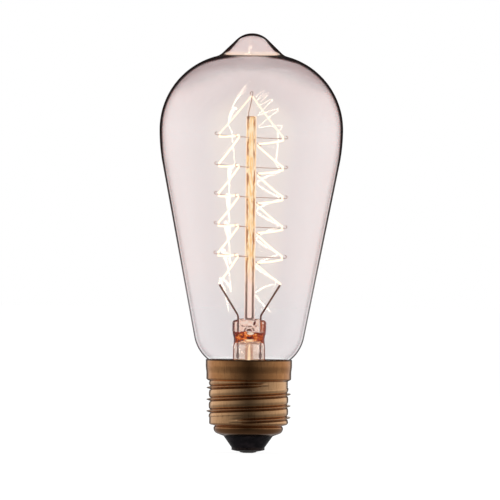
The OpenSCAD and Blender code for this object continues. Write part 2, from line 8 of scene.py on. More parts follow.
import bpy
import numpy as np
from mathutils import Matrix, Vector


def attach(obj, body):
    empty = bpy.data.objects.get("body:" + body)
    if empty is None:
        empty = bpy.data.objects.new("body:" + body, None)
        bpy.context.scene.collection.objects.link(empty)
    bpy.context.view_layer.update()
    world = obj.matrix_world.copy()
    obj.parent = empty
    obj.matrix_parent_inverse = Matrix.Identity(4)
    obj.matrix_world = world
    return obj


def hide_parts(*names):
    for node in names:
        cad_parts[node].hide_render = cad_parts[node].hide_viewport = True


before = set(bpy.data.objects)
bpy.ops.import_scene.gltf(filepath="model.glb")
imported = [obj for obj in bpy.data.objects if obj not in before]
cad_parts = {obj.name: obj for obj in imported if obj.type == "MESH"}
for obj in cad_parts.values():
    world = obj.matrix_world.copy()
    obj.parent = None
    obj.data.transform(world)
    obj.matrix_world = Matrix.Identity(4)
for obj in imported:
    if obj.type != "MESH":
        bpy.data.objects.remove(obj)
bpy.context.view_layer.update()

MM = 0.001

# Glass, in millimetres as the model's source has it
BULB_R = 28.5
WIDEST_Z = 100.4
TIP_Z = 130.3
NECK_R = 11.2
NECK_Z = 19.0
GLASS_WALL = 0.8
DOME_R = 23.5
BELLY_R = 56.6
FOOT_R = 12.0
FOOT_ANGLE = 50.0
TIP_R = 7.0
TIP_ANGLE = 46.0
TIP_HOLLOW_R = 4.0
NECK_HOLLOW_R = 2.5

# Screw cap
RIM_Z = 29.0
SHELL_WALL = 0.35
LIP_R = 7.7
SHELL_Z = 5.25
SHOULDER_R = 10.8
SHOULDER_ROUND = 1.8
SHOULDER_Z = 8.05
SHOULDER_BAND_H = 0.4
GROOVE_R = 10.4
THREAD_Z = 9.0
THREAD_TOP_Z = 22.3
THREAD_PITCH = 3.629
THREAD_MARGIN = 0.95
THREAD_START = -114.0
ROOT_R = 12.15
NOTCH_R = ROOT_R - 0.33
CREST_R = 13.1
SKIRT_R = 13.17
SKIRT_Z = 22.95
RIM_BAND_Z = 25.9
RIM_SWELL_H = 1.3
RIM_R = 13.4

# Stem and press
STEM_R = 5.0
STEM_WALL = 0.8
FLARE_LIP = 1.1
PRESS_Z = 41.7
PRESS_FOOT_Z = 32.0
PRESS_FLAT_Z = 36.0
EXHAUST_HOLE_Z = 37.9
EXHAUST_R = 1.75

# Rod, hooks and strand
ROD_R = 1.65
ROD_TOP_Z = 104.6
TIERS = 5
TOP_TIER_Z = 97.9
TIER_PITCH = 9.25
ARM_TURN = -15.0
FRONT_TURN = -9.0
ANCHOR_R = 10.3
ARM_RISES = (-0.3, -2.3, 0.8, 0.1)
HOOK_WIRE_D = 0.23
HOOK_SEAT = 1.0
HOOK_BEND_R = 0.4
TOP_WIRE_D = 0.3
TOP_HOOK_H = 5.5
TOP_LOOP_H = 2.05
TOP_LOOP_X = 0.4
TOP_FOOT_X = 0.9
STRAND_D = 0.64
STRAND_SAG = 0.2
STRAND_GAP = 0.1
HOOK_TURN_HALF = 72.0
TOP_TURN_HALF = 56.0
COOL_RUN, HOT_RUN = 0.1, 2.2
LEAD_D = 0.6
LEAD_X = 3.5
LEAD_TIP = (9.4, 10.5)
LEAD_BEND_H = 0.9
LEAD_SEAT = 2.2


# Shader maths


class Value:
    """A socket that takes part in ordinary arithmetic."""

    def __init__(self, paint, socket):
        self.paint = paint
        self.socket = socket

    def __add__(self, other):
        return self.paint.maths("ADD", self, other)

    def __sub__(self, other):
        return self.paint.maths("SUBTRACT", self, other)

    def __rsub__(self, other):
        return self.paint.maths("SUBTRACT", other, self)

    def __mul__(self, other):
        return self.paint.maths("MULTIPLY", self, other)

    def __truediv__(self, other):
        return self.paint.maths("DIVIDE", self, other)

    def __pow__(self, other):
        return self.paint.maths("POWER", self, other)

    __radd__ = __add__
    __rmul__ = __mul__


class Paint:
    """The node tree of one material, or of the world."""

    def __init__(self, tree):
        self.tree = tree
        tree.nodes.clear()

    def node(self, kind, settings=None, inputs=None, out=0):
        """Any node: its settings first, then the values or links of its sockets. It gives
        back one of the node's outputs, or several where out is a list of their names."""
        made = self.tree.nodes.new(kind)
        for key, value in (settings or {}).items():
            setattr(made, key, value)
        for key, value in (inputs or {}).items():
            socket = made.inputs[key]
            if isinstance(value, Value):
                self.tree.links.new(value.socket, socket)
            elif socket.type == "RGBA":
                socket.default_value = (*value, 1.0)
            else:
                socket.default_value = value
        if isinstance(out, list):
            return [Value(self, made.outputs[name]) for name in out]
        return Value(self, made.outputs[out]) if made.outputs else None

    def maths(self, operation, *values):
        return self.node("ShaderNodeMath", {"operation": operation}, dict(enumerate(values)))

    def highest(self, first, *others):
        for other in others:
            first = self.maths("MAXIMUM", first, other)
        return first

    def reach(self, across, up):
        """Length of a line that goes so far across and so far up."""
        return self.maths("SQRT", across * across + up * up)

    def ease(self, value, low, high, start=0.0, end=1.0):
        """A smooth step of value from low to high, or down to low where low is the larger."""
        return self.node(
            "ShaderNodeMapRange",
            {"interpolation_type": "SMOOTHSTEP"},
            {"Value": value, "From Min": low, "From Max": high, "To Min": start, "To Max": end},
        )

    def band(self, value, middle, half, soft):
        """1 within half of middle, easing to 0 over soft."""
        off = self.maths("ABSOLUTE", value - middle)
        return self.ease(off, half + soft, half)

    def patch(self, across, up, soft):
        """1 inside an oval of unit reach, easing to 0 over its outer part."""
        return self.ease(self.reach(across, up), 1.0, 1.0 - soft)

    def blend(self, share, first, second):
        return self.node(
            "ShaderNodeMix",
            {"data_type": "RGBA", "blend_type": "MIX", "clamp_factor": True},
            {0: share, 6: first, 7: second},
            out=2,
        )

    def layers(self, base, *coats):
        """A colour with others laid over it, each given as its share and its colour."""
        for share, coat in coats:
            base = self.blend(share, base, coat)
        return base

    def place(self):
        return self.node("ShaderNodeTexCoord", out="Object")

    def axes(self, vector=None):
        """x, y and z of a vector, or of the place on the object."""
        inputs = {"Vector": vector or self.place()}
        return self.node("ShaderNodeSeparateXYZ", None, inputs, ["X", "Y", "Z"])

    def ray_is(self, *kinds):
        """1 for rays of each kind, 0 for others."""
        return self.node("ShaderNodeLightPath", out=[f"Is {kind} Ray" for kind in kinds])

    def stretched(self, vector, scale):
        return self.node("ShaderNodeVectorMath", {"operation": "MULTIPLY"}, {0: vector, 1: scale})

    def noise(self, scale, detail=3.0, rough=0.5, along=None, vector=None):
        """Noise, closer set along the axis where along is above 1, drawn out where below."""
        vector = vector or self.place()
        if along:
            vector = self.stretched(vector, (1.0, 1.0, along))
        return self.node(
            "ShaderNodeTexNoise",
            None,
            {"Vector": vector, "Scale": scale, "Detail": detail, "Roughness": rough},
        )

    def facing(self):
        """0 where a surface faces the eye, 1 where it is seen edge on."""
        return self.node("ShaderNodeLayerWeight", None, {"Blend": 0.5}, out="Facing")

    def bump(self, height, strength, distance):
        inputs = {"Height": height, "Strength": strength, "Distance": distance}
        return self.node("ShaderNodeBump", None, inputs)

    def surface(self, **sockets):
        inputs = {key.replace("_", " "): value for key, value in sockets.items()}
        return self.node("ShaderNodeBsdfPrincipled", None, inputs)

    def mix(self, share, first, second):
        return self.node("ShaderNodeMixShader", None, {0: share, 1: first, 2: second})


def finish_of(name, build):
    """A material whose shader is what build(paint) gives back."""
    material = bpy.data.materials.new(name)
    material.use_nodes = True
    paint = Paint(material.node_tree)
    shader = build(paint)
    paint.node("ShaderNodeOutputMaterial", None, {"Surface": shader})
    return material


# Materials

MIRROR_SHARE = 0.05
HAZE = ((0.40, 0.040, 0.006), (0.23, 0.004, 0.040))
GLASS_EDGE = (0.008, 0.006, 0.006)
STRAND_GLOW = (1.0, 0.88, 0.42)
BLOWN = {"Roughness": 0.1, "IOR": 1.2}
PRESSED = {"Roughness": 0.12, "IOR": 1.4}
DRAWN = {"Roughness": 0.1, "IOR": 1.4}
BELT_Z = 0.0358
PUMPING_MARK_Z = 0.0376


def with_mirror(paint, body, share=MIRROR_SHARE, normal=None):
    """Clear glass also mirrors a little of what is round it."""
    inputs = {"Color": (1, 1, 1), "Roughness": 0.0}
    if normal:
        inputs["Normal"] = normal
    return paint.mix(share, body, paint.node("ShaderNodeBsdfGlossy", None, inputs))


def slanted_dome(paint, z, facing):
    """Where the dome below the tip is seen at a slant, through more of its glass; a grey shade is
    painted there.
    """
    dome = paint.ease(z, 0.1095, 0.117) * paint.ease(z, 0.1240, 0.1230)
    return dome * paint.ease(facing, 0.22, 0.62)


def dome_haze_and_shade(paint, z, slanted):
    """The glass is thicker, and so a little darker, towards the tip; a painted shade darkens it
    more where the dome below the tip is seen at a slant.
    """
    haze = 0.022 * paint.ease(z, 0.098, 0.116) + 0.035 * paint.ease(z, 0.1215, 0.1255)
    return haze + 0.088 * slanted


def above_rim(paint, z):
    """A painted highlight: the glass is left clear, and so bright, along the cap's rim."""
    return paint.ease(z, 0.0291, 0.0303, 0.15, 1.0)


def glass_colour(paint, z, slanted):
    """Rose, greyer low down, with a painted grey shade on the slanted dome and an amber band at
    the base of the tip.
    """
    return paint.layers(
        paint.blend(paint.ease(z, 0.060, 0.040), *HAZE),
        (paint.ease(slanted, 0.0, 0.6), (0.22, 0.045, 0.040)),
        (paint.band(z, 0.1237, 0.0003, 0.0007), (0.95, 0.42, 0.12)),
    )


def bulb_outside(paint):
    """Outer face of the blown glass: a faint rose-grey, with a painted black outline where it is
    seen edge on, standing for the dark room seen through the glass's edge.
    """
    z = paint.axes()[2]
    facing = paint.facing()
    slanted = slanted_dome(paint, z, facing)
    begin = 0.722 - 0.155 * paint.ease(z, 0.1234, 0.1250) - 0.10 * paint.ease(z, 0.1282, 0.1301)
    begin = begin + 0.03 * paint.ease(z, 0.100, 0.084)
    begin = begin - 0.035 * paint.band(z, 0.1224, 0.0007, 0.0008)
    weight = (
        0.95
        - 0.15 * paint.ease(z, 0.098, 0.082)
        - 0.30 * paint.ease(z, 0.076, 0.048)
        + 0.12 * paint.ease(z, 0.042, 0.032)
    )
    # Painted shade: a dark outline where the glass is seen edge on, darkest on the dome.
    edge = weight * paint.ease(facing, begin, begin + 0.085)
    turning = 0.034 * paint.ease(facing, 0.32, 0.66) + 0.060 * paint.ease(facing, 0.69, 0.73)
    streak = paint.noise(90.0, 2.0, along=0.18)
    haze = 0.050 + 0.016 * streak + dome_haze_and_shade(paint, z, slanted) + turning
    clear = paint.surface(
        Base_Color=glass_colour(paint, z, slanted),
        Alpha=haze * above_rim(paint, z),
        Normal=paint.bump(streak, 0.12, 0.0004),
        **BLOWN,
    )
    rim = paint.surface(Base_Color=GLASS_EDGE, Roughness=0.9, Specular_IOR_Level=0.0)
    return paint.mix(edge, with_mirror(paint, clear), rim)


def bulb_inside(paint):
    """Inner face of the blown glass, wavy where the tip was drawn out. It catches some of
    the strand's light where it lies in front of the strand."""
    z = paint.axes()[2]
    facing = paint.facing()
    slanted = slanted_dome(paint, z, facing)
    waves = paint.noise(260.0, 1.0, along=1.8) * paint.ease(z, 0.1115, 0.1165)
    grazed = paint.ease(facing, 0.6, 1.0)
    lit = paint.ease(facing, 0.17, 0.04) * paint.band(z, 0.081, 0.030, 0.012)
    body = paint.surface(
        Base_Color=glass_colour(paint, z, slanted),
        Alpha=(0.058 + dome_haze_and_shade(paint, z, slanted)) * above_rim(paint, z) + 0.04 * grazed,
        Emission_Color=paint.blend(lit, (0.0, 0.0, 0.0), STRAND_GLOW),
        Emission_Strength=0.75,
        **BLOWN,
    )
    share = MIRROR_SHARE + 0.20 * grazed
    return with_mirror(paint, body, share, paint.bump(waves, 0.25, 0.0022))


def belt_colour(paint, x, z, height, swirl):
    """Orange-red copper glass: dark at its corners and round the pumping hole, gold below."""
    side = paint.maths("ABSOLUTE", x)
    bowl = z - BELT_Z - 130.0 * x * x
    foot = paint.ease(height, 0.0350, 0.0344) * paint.ease(swirl, 0.42, 0.55)
    top = paint.ease(height, 0.0364, 0.0370) * paint.ease(swirl, 0.60, 0.48)
    corner = paint.patch((side - 0.0036) / 0.0012, (z - 0.0369) / 0.0006, 0.6)
    smile = paint.patch(x / 0.0013, bowl / 0.00042, 0.5)
    glint = paint.patch(x / 0.0018, (bowl + 0.00085) / 0.00040, 0.6)
    return paint.layers(
        (0.13, 0.017, 0.002),
        (paint.ease(swirl, 0.44, 0.55), (0.70, 0.128, 0.006)),
        (paint.ease(swirl, 0.57, 0.66), (0.95, 0.52, 0.14)),
        (0.8 * corner, (0.075, 0.012, 0.004)),
        (0.9 * smile, (0.050, 0.009, 0.003)),
        (0.45 * paint.ease(x, 0.0012, 0.0030), (0.22, 0.030, 0.006)),
        (0.8 * foot * paint.ease(side, 0.0040, 0.0030), (0.97, 0.66, 0.36)),
        (0.9 * glint, (0.99, 0.76, 0.40)),
        (0.7 * top, (0.16, 0.020, 0.004)),
    )


def press_marks(paint, x, z, streak):
    """Dark lines painted on the press as shade: in the ring and along the lip at the pumping
    hole, in a fold and along a brow; and a dark tick.
    """
    side = paint.maths("ABSOLUTE", x)
    rise = z - PUMPING_MARK_Z
    ring = paint.band(paint.reach(x, rise), 0.00150, 0.00018, 0.00020)
    ring = ring * paint.ease(rise, 0.0000, 0.0004)
    ring = ring * (0.45 + 0.55 * paint.ease(side, 0.0006, 0.0012))
    lip = paint.patch(x / 0.00125, (rise - 0.00058 + 160.0 * x * x) / 0.00048, 0.5)
    fold = paint.band(z - 0.0393 - 30.0 * x * x, 0.0, 0.00016, 0.00020)
    fold = fold * paint.ease(side, 0.0029, 0.0023) * paint.ease(streak, 0.36, 0.50)
    brow = paint.band(z - 0.0414 + 15.0 * x * x, 0.0, 0.00018, 0.00020)
    brow = brow * paint.ease(side, 0.0032, 0.0026) * paint.ease(streak, 0.60, 0.48)
    lean = x - 0.00160 - 0.25 * (z - 0.0403)
    tick = paint.patch(lean / 0.00055, (z - 0.0403) / 0.00105, 0.5)
    return paint.highest(0.90 * ring, lip, 0.85 * fold, 0.95 * brow, tick)


def pressed_glass(paint):
    """Stem: cream glass with a painted brown edge where it rounds off, an orange-red belt where
    the copper-clad wires are sealed, and dark lines of painted shade round the pumping hole. It
    is given a faint glow of its own, painted light."""
    x, y, z = paint.axes()
    side = paint.maths("ABSOLUTE", x)
    facing = paint.facing()
    wave = paint.noise(330.0, 1.0)
    ragged = paint.noise(950.0, 3.0, 0.6)
    swirl = paint.noise(720.0, 4.0, 0.65, along=1.5)
    streak = paint.noise(1100.0, 2.0, along=0.3)

    press = paint.ease(z, 0.0330, 0.0345)
    lobe = paint.ease(side, 0.0031, 0.0036) * press
    right = paint.ease(x, 0.0031, 0.0037) * press
    upper = paint.ease(z, 0.0355, 0.0385)
    tube = paint.ease(z, 0.0345, 0.0335)
    front = paint.ease(y, -0.0006, -0.0010)
    red = paint.ease(streak, 0.66, 0.50) * right * upper
    height = z + 0.0018 * (wave - 0.5) + 0.0014 * (ragged - 0.5)
    belt = paint.band(height, BELT_Z, 0.0015, 0.0004)
    bead = paint.patch((x - 0.0004) / 0.0013, (z - 0.0371) / 0.0006, 0.5) * front
    # Painted shade: dark lines round the pumping hole, in the fold and along the brow.
    marks = press_marks(paint, x, z, streak) * front

    # Painted shade: a brown edge where the press is seen edge on.
    begin = 0.66 - 0.34 * press - 0.26 * lobe - 0.14 * tube
    edge = paint.ease(facing, begin, begin + 0.11)
    edge_shade = paint.layers(
        (0.060, 0.010, 0.004),
        (0.8 * right, (0.17, 0.030, 0.008)),
        (tube, (0.18, 0.065, 0.040)),
    )
    shade = paint.layers(
        (0.86, 0.52, 0.36),
        (upper, (1.0, 0.60, 0.42)),
        (0.6 * paint.ease(ragged, 0.48, 0.62), (0.98, 0.90, 0.74)),
        (red, (0.33, 0.075, 0.022)),
        (tube, (1.0, 0.60, 0.34)),
        (belt, belt_colour(paint, x, z, height, swirl)),
        (0.85 * bead, (0.99, 0.88, 0.68)),
        (marks, (0.085, 0.022, 0.012)),
        (edge, edge_shade),
    )
    over_wire = paint.band(side, 0.0035, 0.0003, 0.0003) * (1 - right)
    fill = (0.08 + 0.34 * upper + 0.10 * tube) * (1 - 0.8 * over_wire) + 0.52 * red
    body = paint.surface(
        Base_Color=shade,
        Alpha=paint.highest(fill, 0.94 * belt, 0.80 * bead, marks, 0.97 * edge),
        # Painted light: the stem glows in its own colours.
        Emission_Color=shade,
        Emission_Strength=0.48,
        Normal=paint.bump(ragged, 0.3, 0.0003),
        **PRESSED,
    )
    return with_mirror(paint, body)


def bore_glass(paint):
    """Inside of the stem's tube: nearly clear, with a painted brown edge only where it is seen
    edge on.
    """
    grain = paint.noise(900.0, 2.0, along=0.35)
    z = paint.axes()[2]
    edge = paint.ease(paint.facing(), 0.72, 0.86) * paint.ease(z, 0.0335, 0.0325)
    body = paint.surface(
        Base_Color=paint.blend(edge, (0.98, 0.80, 0.68), (0.075, 0.018, 0.008)),
        Alpha=0.06 + 0.10 * paint.ease(grain, 0.4, 0.65) + 0.75 * edge,
        **PRESSED,
    )
    return with_mirror(paint, body)


def rod_glass(paint):
    """Clear rod that fills with the strand's amber light above its lowest hooks."""
    x, _, z = paint.axes()
    facing = paint.facing()
    grain = paint.noise(1900.0, 2.0, along=0.16)
    wave = paint.noise(640.0, 2.0, along=0.5)
    ragged = paint.noise(1500.0, 3.0, 0.6, along=0.3)
    lit = paint.ease(z + 0.010 * (wave - 0.5), 0.050, 0.062)
    below_hook = paint.maths("FRACT", (TOP_TIER_Z * MM - z) / (TIER_PITCH * MM))
    dark_run = paint.ease(below_hook, 0.85, 0.45) * paint.ease(below_hook, 0.02, 0.08)
    turned_away = facing + (0.14 * (wave - 0.5) + 0.16 * (ragged - 0.5)) * lit
    # Painted shade: dark bars down both sides of the rod, darker in the stretch just below each
    # hook.
    bar = paint.ease(turned_away, 0.06, 0.13) * paint.ease(turned_away, 0.52, 0.36)
    bar = bar * ((1 - lit) + lit * (0.42 + 0.58 * dark_run) * paint.ease(ragged, 0.36, 0.50))
    seat = paint.band(x, -0.0010, 0.0003, 0.0003) * paint.ease(z, 0.1034, 0.1040)
    amber = paint.layers(
        (0.92, 0.60, 0.27),
        (paint.ease(grain, 0.38, 0.62), (0.99, 0.86, 0.61)),
        (paint.ease(facing, 0.40, 0.62), (1.0, 0.80, 0.64)),
    )
    brown = paint.blend(lit, (0.050, 0.012, 0.006), (0.26, 0.078, 0.018))
    shade = paint.layers(
        (1.0, 0.81, 0.73),
        (lit, amber),
        (0.92 * bar, brown),
        (0.8 * seat, (0.09, 0.04, 0.025)),
    )
    body = paint.surface(
        Base_Color=shade,
        Alpha=paint.highest(0.80 + 0.10 * lit, 0.95 * bar),
        # Painted light: the rod glows in its own colours, amber above the lowest hooks, pale
        # below.
        Emission_Color=shade,
        Emission_Strength=0.26,
        Normal=paint.bump(grain, 0.15, 0.0002),
        **DRAWN,
    )
    return with_mirror(paint, body)


def exhaust_glass(paint):
    """Pumping tube in the stem: a painted cream glow in its bore between two bands of painted
    brown shade where its walls are seen edge on.
    """
    facing = paint.facing()
    grain = paint.noise(900.0, 2.0, along=0.35)
    wall = paint.ease(facing, 0.06, 0.11) * paint.ease(facing, 0.36, 0.26)
    wall = wall * (0.55 + 0.45 * paint.ease(grain, 0.38, 0.55))
    bore = paint.ease(facing, 0.10, 0.05)
    shade = paint.layers(
        (0.95, 0.80, 0.70),
        (bore, (1.0, 0.82, 0.52)),
        (wall, (0.34, 0.11, 0.05)),
    )
    body = paint.surface(
        Base_Color=shade,
        Alpha=0.05 + 0.70 * bore * paint.ease(grain, 0.30, 0.52) + 0.80 * wall,
        Emission_Color=paint.blend(bore, (0.2, 0.15, 0.12), shade),
        Emission_Strength=0.9,
        **PRESSED,
    )
    return with_mirror(paint, body)


def glowing_wire(paint):
    """Strand: white-hot wire, a little cooler where it bends round a hook. Its image in
    the glass is that of a source far brighter than white paper."""
    heat = paint.node("ShaderNodeAttribute", {"attribute_name": "heat"}, out="Fac")
    glow = paint.blend(heat, (1.0, 0.82, 0.61), (1.0, 0.95, 0.86))
    wire = paint.surface(
        Base_Color=(0.30, 0.24, 0.20),
        Roughness=0.5,
        Metallic=0.6,
        Emission_Color=glow,
        Emission_Strength=1.7,
    )
    image = paint.node("ShaderNodeEmission", None, {"Color": glow, "Strength": 10.0})
    glossy, sharp = paint.ray_is("Glossy", "Singular")
    return paint.mix(glossy * sharp, wire, image)


def drawn_wire(light, dark, rough, metal=0.75):
    """Drawn wire with fine marks along it and dull patches."""

    def build(paint):
        fine = paint.noise(5200.0, 2.0)
        dull = paint.noise(900.0, 3.0)
        shade = paint.blend(paint.ease(dull, 0.35, 0.65), dark, light)
        return paint.surface(
            Base_Color=shade,
            Metallic=metal,
            Roughness=rough + 0.2 * (dull - 0.5),
            Normal=paint.bump(fine, 0.25, 0.00003),
        )

    return build


def cap_brass(paint):
    """Bronze-toned sheet with rolled marks round it; shade is painted in its hollows, on the
    shoulder and along the top edge of the rim.
    """
    x, y, z = paint.axes()
    radius = paint.reach(x, y)
    turn = paint.maths("ARCTAN2", y, x)
    around = paint.node("ShaderNodeCombineXYZ", None, {0: turn * 0.012, 1: radius * 0.3, 2: z})
    rolled = paint.noise(420.0, 4.0, 0.6, along=9.0, vector=around)
    upright = paint.noise(300.0, 3.0, 0.6, vector=paint.stretched(around, (9.0, 1.0, 1.0)))
    cloud = paint.noise(210.0, 4.0, 0.55)
    thread = paint.ease(z, 0.0088, 0.0095) * paint.ease(z, 0.0226, 0.0222)
    hollow = paint.ease(radius, 0.01213, 0.01188) * thread
    crest = paint.ease(radius, 0.0125, 0.0129) * thread
    shoulder = paint.ease(z, 0.0088, 0.0072)
    rim = paint.ease(z, 0.02845, 0.0287)
    base = paint.layers(
        (0.44, 0.20, 0.078),
        (paint.ease(cloud, 0.36, 0.66), (0.55, 0.27, 0.112)),
        (0.8 * thread, (0.72, 0.43, 0.225)),
        (0.45 * paint.ease(upright, 0.5, 0.68), (0.30, 0.13, 0.055)),
        # Painted shade in the thread's hollows.
        (0.75 * hollow, (0.055, 0.028, 0.020)),
        (0.55 * crest, (0.36, 0.205, 0.12)),
        # Painted shade on the shoulder below the thread.
        (0.62 * shoulder, (0.16, 0.075, 0.04)),
        # Painted shadow along the rim's top edge.
        (0.85 * rim, (0.05, 0.02, 0.012)),
    )
    return paint.surface(
        Base_Color=base,
        Metallic=1.0,
        Roughness=0.17 + 0.10 * (cloud - 0.4) + 0.12 * hollow,
        Normal=paint.bump(0.6 * rolled + 0.4 * upright, 0.10, 0.00012),
    )


def black_glass(paint):
    """Insulator: black pressed glass with a faint flow round the cone."""
    flow = paint.noise(260.0, along=2.5)
    shade = paint.blend(paint.ease(flow, 0.4, 0.7), (0.006, 0.005, 0.006), (0.016, 0.012, 0.014))
    return paint.surface(
        Base_Color=shade,
        Roughness=0.22 + 0.15 * flow,
        IOR=1.45,
        Specular_IOR_Level=0.08,
        Normal=paint.bump(flow, 0.25, 0.0004),
    )


def contact_brass(paint):
    """Contact disc: browned brass, worn brighter towards its middle."""
    x, y, _ = paint.axes()
    stain = paint.noise(520.0, 4.0, 0.6)
    worn = paint.ease(paint.reach(x, y) + 0.0012 * stain, 0.0046, 0.0022)
    shade = paint.layers(
        (0.012, 0.009, 0.010),
        (paint.ease(stain, 0.35, 0.65), (0.040, 0.026, 0.024)),
        (0.7 * worn, (0.10, 0.065, 0.045)),
    )
    return paint.surface(
        Base_Color=shade,
        Metallic=0.8,
        Roughness=0.42 + 0.2 * (stain - 0.5),
        Normal=paint.bump(stain, 0.15, 0.0002),
    )


def soft_solder(paint):
    """Tin solder, frosted where it set and brighter where a spring rubs it."""
    frost = paint.noise(1600.0, 4.0, 0.6)
    z = paint.axes()[2]
    rubbed = paint.ease(z, 0.00012, 0.00002)
    shade = paint.layers(
        (0.070, 0.060, 0.060),
        (paint.ease(frost, 0.35, 0.65), (0.14, 0.125, 0.12)),
        (0.6 * rubbed, (0.40, 0.38, 0.37)),
    )
    return paint.surface(
        Base_Color=shade,
        Metallic=0.85,
        Roughness=0.38 + 0.22 * (frost - 0.5),
        Normal=paint.bump(frost, 0.3, 0.00015),
    )


def dry_cement(paint):
    """Baked capping cement: matt, with grains."""
    grain = paint.noise(2600.0, 4.0, 0.7)
    shade = paint.blend(grain, (0.40, 0.35, 0.29), (0.66, 0.61, 0.54))
    return paint.surface(Base_Color=shade, Roughness=0.9, Normal=paint.bump(grain, 0.6, 0.0003))


NICKEL = ((0.30, 0.20, 0.155), (0.13, 0.075, 0.055))
HOOKS = ((0.62, 0.44, 0.38), (0.36, 0.24, 0.20))
KNOTS = ((0.030, 0.010, 0.010), (0.008, 0.003, 0.004))
RED_SEAL = ((0.20, 0.045, 0.018), (0.08, 0.016, 0.008))
COPPER = ((0.62, 0.27, 0.13), (0.34, 0.12, 0.055))

FINISHES = {
    "bulb_glass": finish_of("blown_glass_outside", bulb_outside),
    "bulb_inside": finish_of("blown_glass_inside", bulb_inside),
    "stem_glass": finish_of("pressed_glass", pressed_glass),
    "stem_bore": finish_of("stem_bore_glass", bore_glass),
    "exhaust_glass": finish_of("pumping_tube_glass", exhaust_glass),
    "rod_glass": finish_of("amber_lit_rod", rod_glass),
    "filament": finish_of("glowing_strand", glowing_wire),
    "nickel_wire": finish_of("nickel_wire", drawn_wire(*NICKEL, 0.45)),
    "hook_wire": finish_of("fine_hook_wire", drawn_wire(*HOOKS, 0.5, 0.3)),
    "welded_wire": finish_of("scaled_weld", drawn_wire(*KNOTS, 0.6, 0.2)),
    "seal_wire": finish_of("red_seal_wire", drawn_wire(*RED_SEAL, 0.4)),
    "copper_lead": finish_of("copper_lead", drawn_wire(*COPPER, 0.4)),
    "cap_brass": finish_of("bronzed_brass", cap_brass),
    "contact_metal": finish_of("browned_contact", contact_brass),
    "solder": finish_of("soft_solder", soft_solder),
    "black_insulator": finish_of("black_glass", black_glass),
    "cement": finish_of("capping_cement", dry_cement),
}


# Meshes


def placed(name, data):
    """A new object in the scene."""
    made = bpy.data.objects.new(name, data)
    bpy.context.scene.collection.objects.link(made)
    return made


def piece(name, points, faces, node, slot, finishes=None, faces_of=None):
    """A mesh in millimetres made into a piece that rides on the lamp in place of a node."""
    mesh = bpy.data.meshes.new(name)
    mesh.from_pydata([tuple(c * MM for c in p) for p in points], [], faces)
    mesh.validate()
    mesh.polygons.foreach_set("use_smooth", [True] * len(mesh.polygons))
    for finish in finishes or [slot]:
        mesh.materials.append(FINISHES[finish])
    if faces_of is not None:
        mesh.polygons.foreach_set("material_index", faces_of)
    mesh.update()
    made = placed(name, mesh)
    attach(made, "root")
    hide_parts(node)
    return made


def arc(centre, r, start, end, n):
    turn = np.radians(np.linspace(start, end, n + 1))
    return [(centre[0] + r * math.cos(a), centre[1] + r * math.sin(a)) for a in turn]


def inset(line, w):
    """The line moved to its left by w."""
    p = np.array(line, float)
    step = np.diff(p, axis=0)
    left = np.stack([-step[:, 1], step[:, 0]], 1)
    left /= np.linalg.norm(left, axis=1)[:, None]
    before = np.vstack([left[:1], left])
    after = np.vstack([left, left[-1:]])
    share = w / (1 + (before * after).sum(1))
    return [tuple(q) for q in p + share[:, None] * (before + after)]


def turns(sides):
    return [2 * math.pi * k / sides for k in range(sides)]


def oval(a, b, z, sides):
    return [(a * math.cos(t), b * math.sin(t), z) for t in turns(sides)]


def turned(r, z, sides):
    return oval(r, r, z, sides)


def next_to(sides):
    """Each place on a ring with the one after it."""
    return [(k, (k + 1) % sides) for k in range(sides)]


def lathe(line, sides, closed):
    """Points and faces of a line of (radius, height) turned about the axis. A point on
    the axis is one vertex. A closed line joins its last point to its first."""
    points, rings = [], []
    for r, z in line:
        if r < 1e-6:
            rings.append([len(points)])
            points.append((0.0, 0.0, z))
            continue
        rings.append(list(range(len(points), len(points) + sides)))
        points += turned(r, z, sides)
    faces, rows = [], []
    count = len(rings) if closed else len(rings) - 1
    for i in range(count):
        low, high = rings[i], rings[(i + 1) % len(rings)]
        for k, m in next_to(sides):
            if len(low) == 1 and len(high) == 1:
                break
            if len(low) == 1:
                faces.append((low[0], high[m], high[k]))
            elif len(high) == 1:
                faces.append((low[k], low[m], high[0]))
            else:
                faces.append((low[k], low[m], high[m], high[k]))
            rows.append(i)
    return points, faces, rows


def quads(rows, sides, closed=False):
    """Faces between rings of points, and from the last ring to the first where closed."""
    faces = []
    for i in range(rows if closed else rows - 1):
        low, high = i * sides, (i + 1) % rows * sides
        faces += [(low + k, low + m, high + m, high + k) for k, m in next_to(sides)]
    return faces


def sweep(path, radius, sides):
    """A tube along a path, closed at both ends. radius is a number or one for each point."""
    p = np.array(path, float)
    n = len(p)
    radii = np.ones(n) * np.array(radius, float)
    ahead = np.gradient(p, axis=0)
    ahead /= np.linalg.norm(ahead, axis=1)[:, None]
    across = across_of(ahead)
    over = np.cross(ahead, across)
    angles = 2 * np.pi * np.arange(sides) / sides
    out = np.cos(angles)[:, None] * across[:, None] + np.sin(angles)[:, None] * over[:, None]
    rings = p[:, None] + radii[:, None, None] * out
    points = [tuple(q) for q in rings.reshape(-1, 3)]
    ends = [tuple(reversed(range(sides))), tuple(range((n - 1) * sides, n * sides))]
    return points, quads(n, sides) + ends


def across_of(ahead):
    """A direction square to each step of a path, carried along it without twisting."""
    start = np.array([0.31, 0.87, 0.39])
    v = start - start.dot(ahead[0]) * ahead[0]
    rows = []
    for t in ahead:
        v = v - v.dot(t) * t
        v = v / np.linalg.norm(v)
        rows.append(v)
    return np.array(rows)


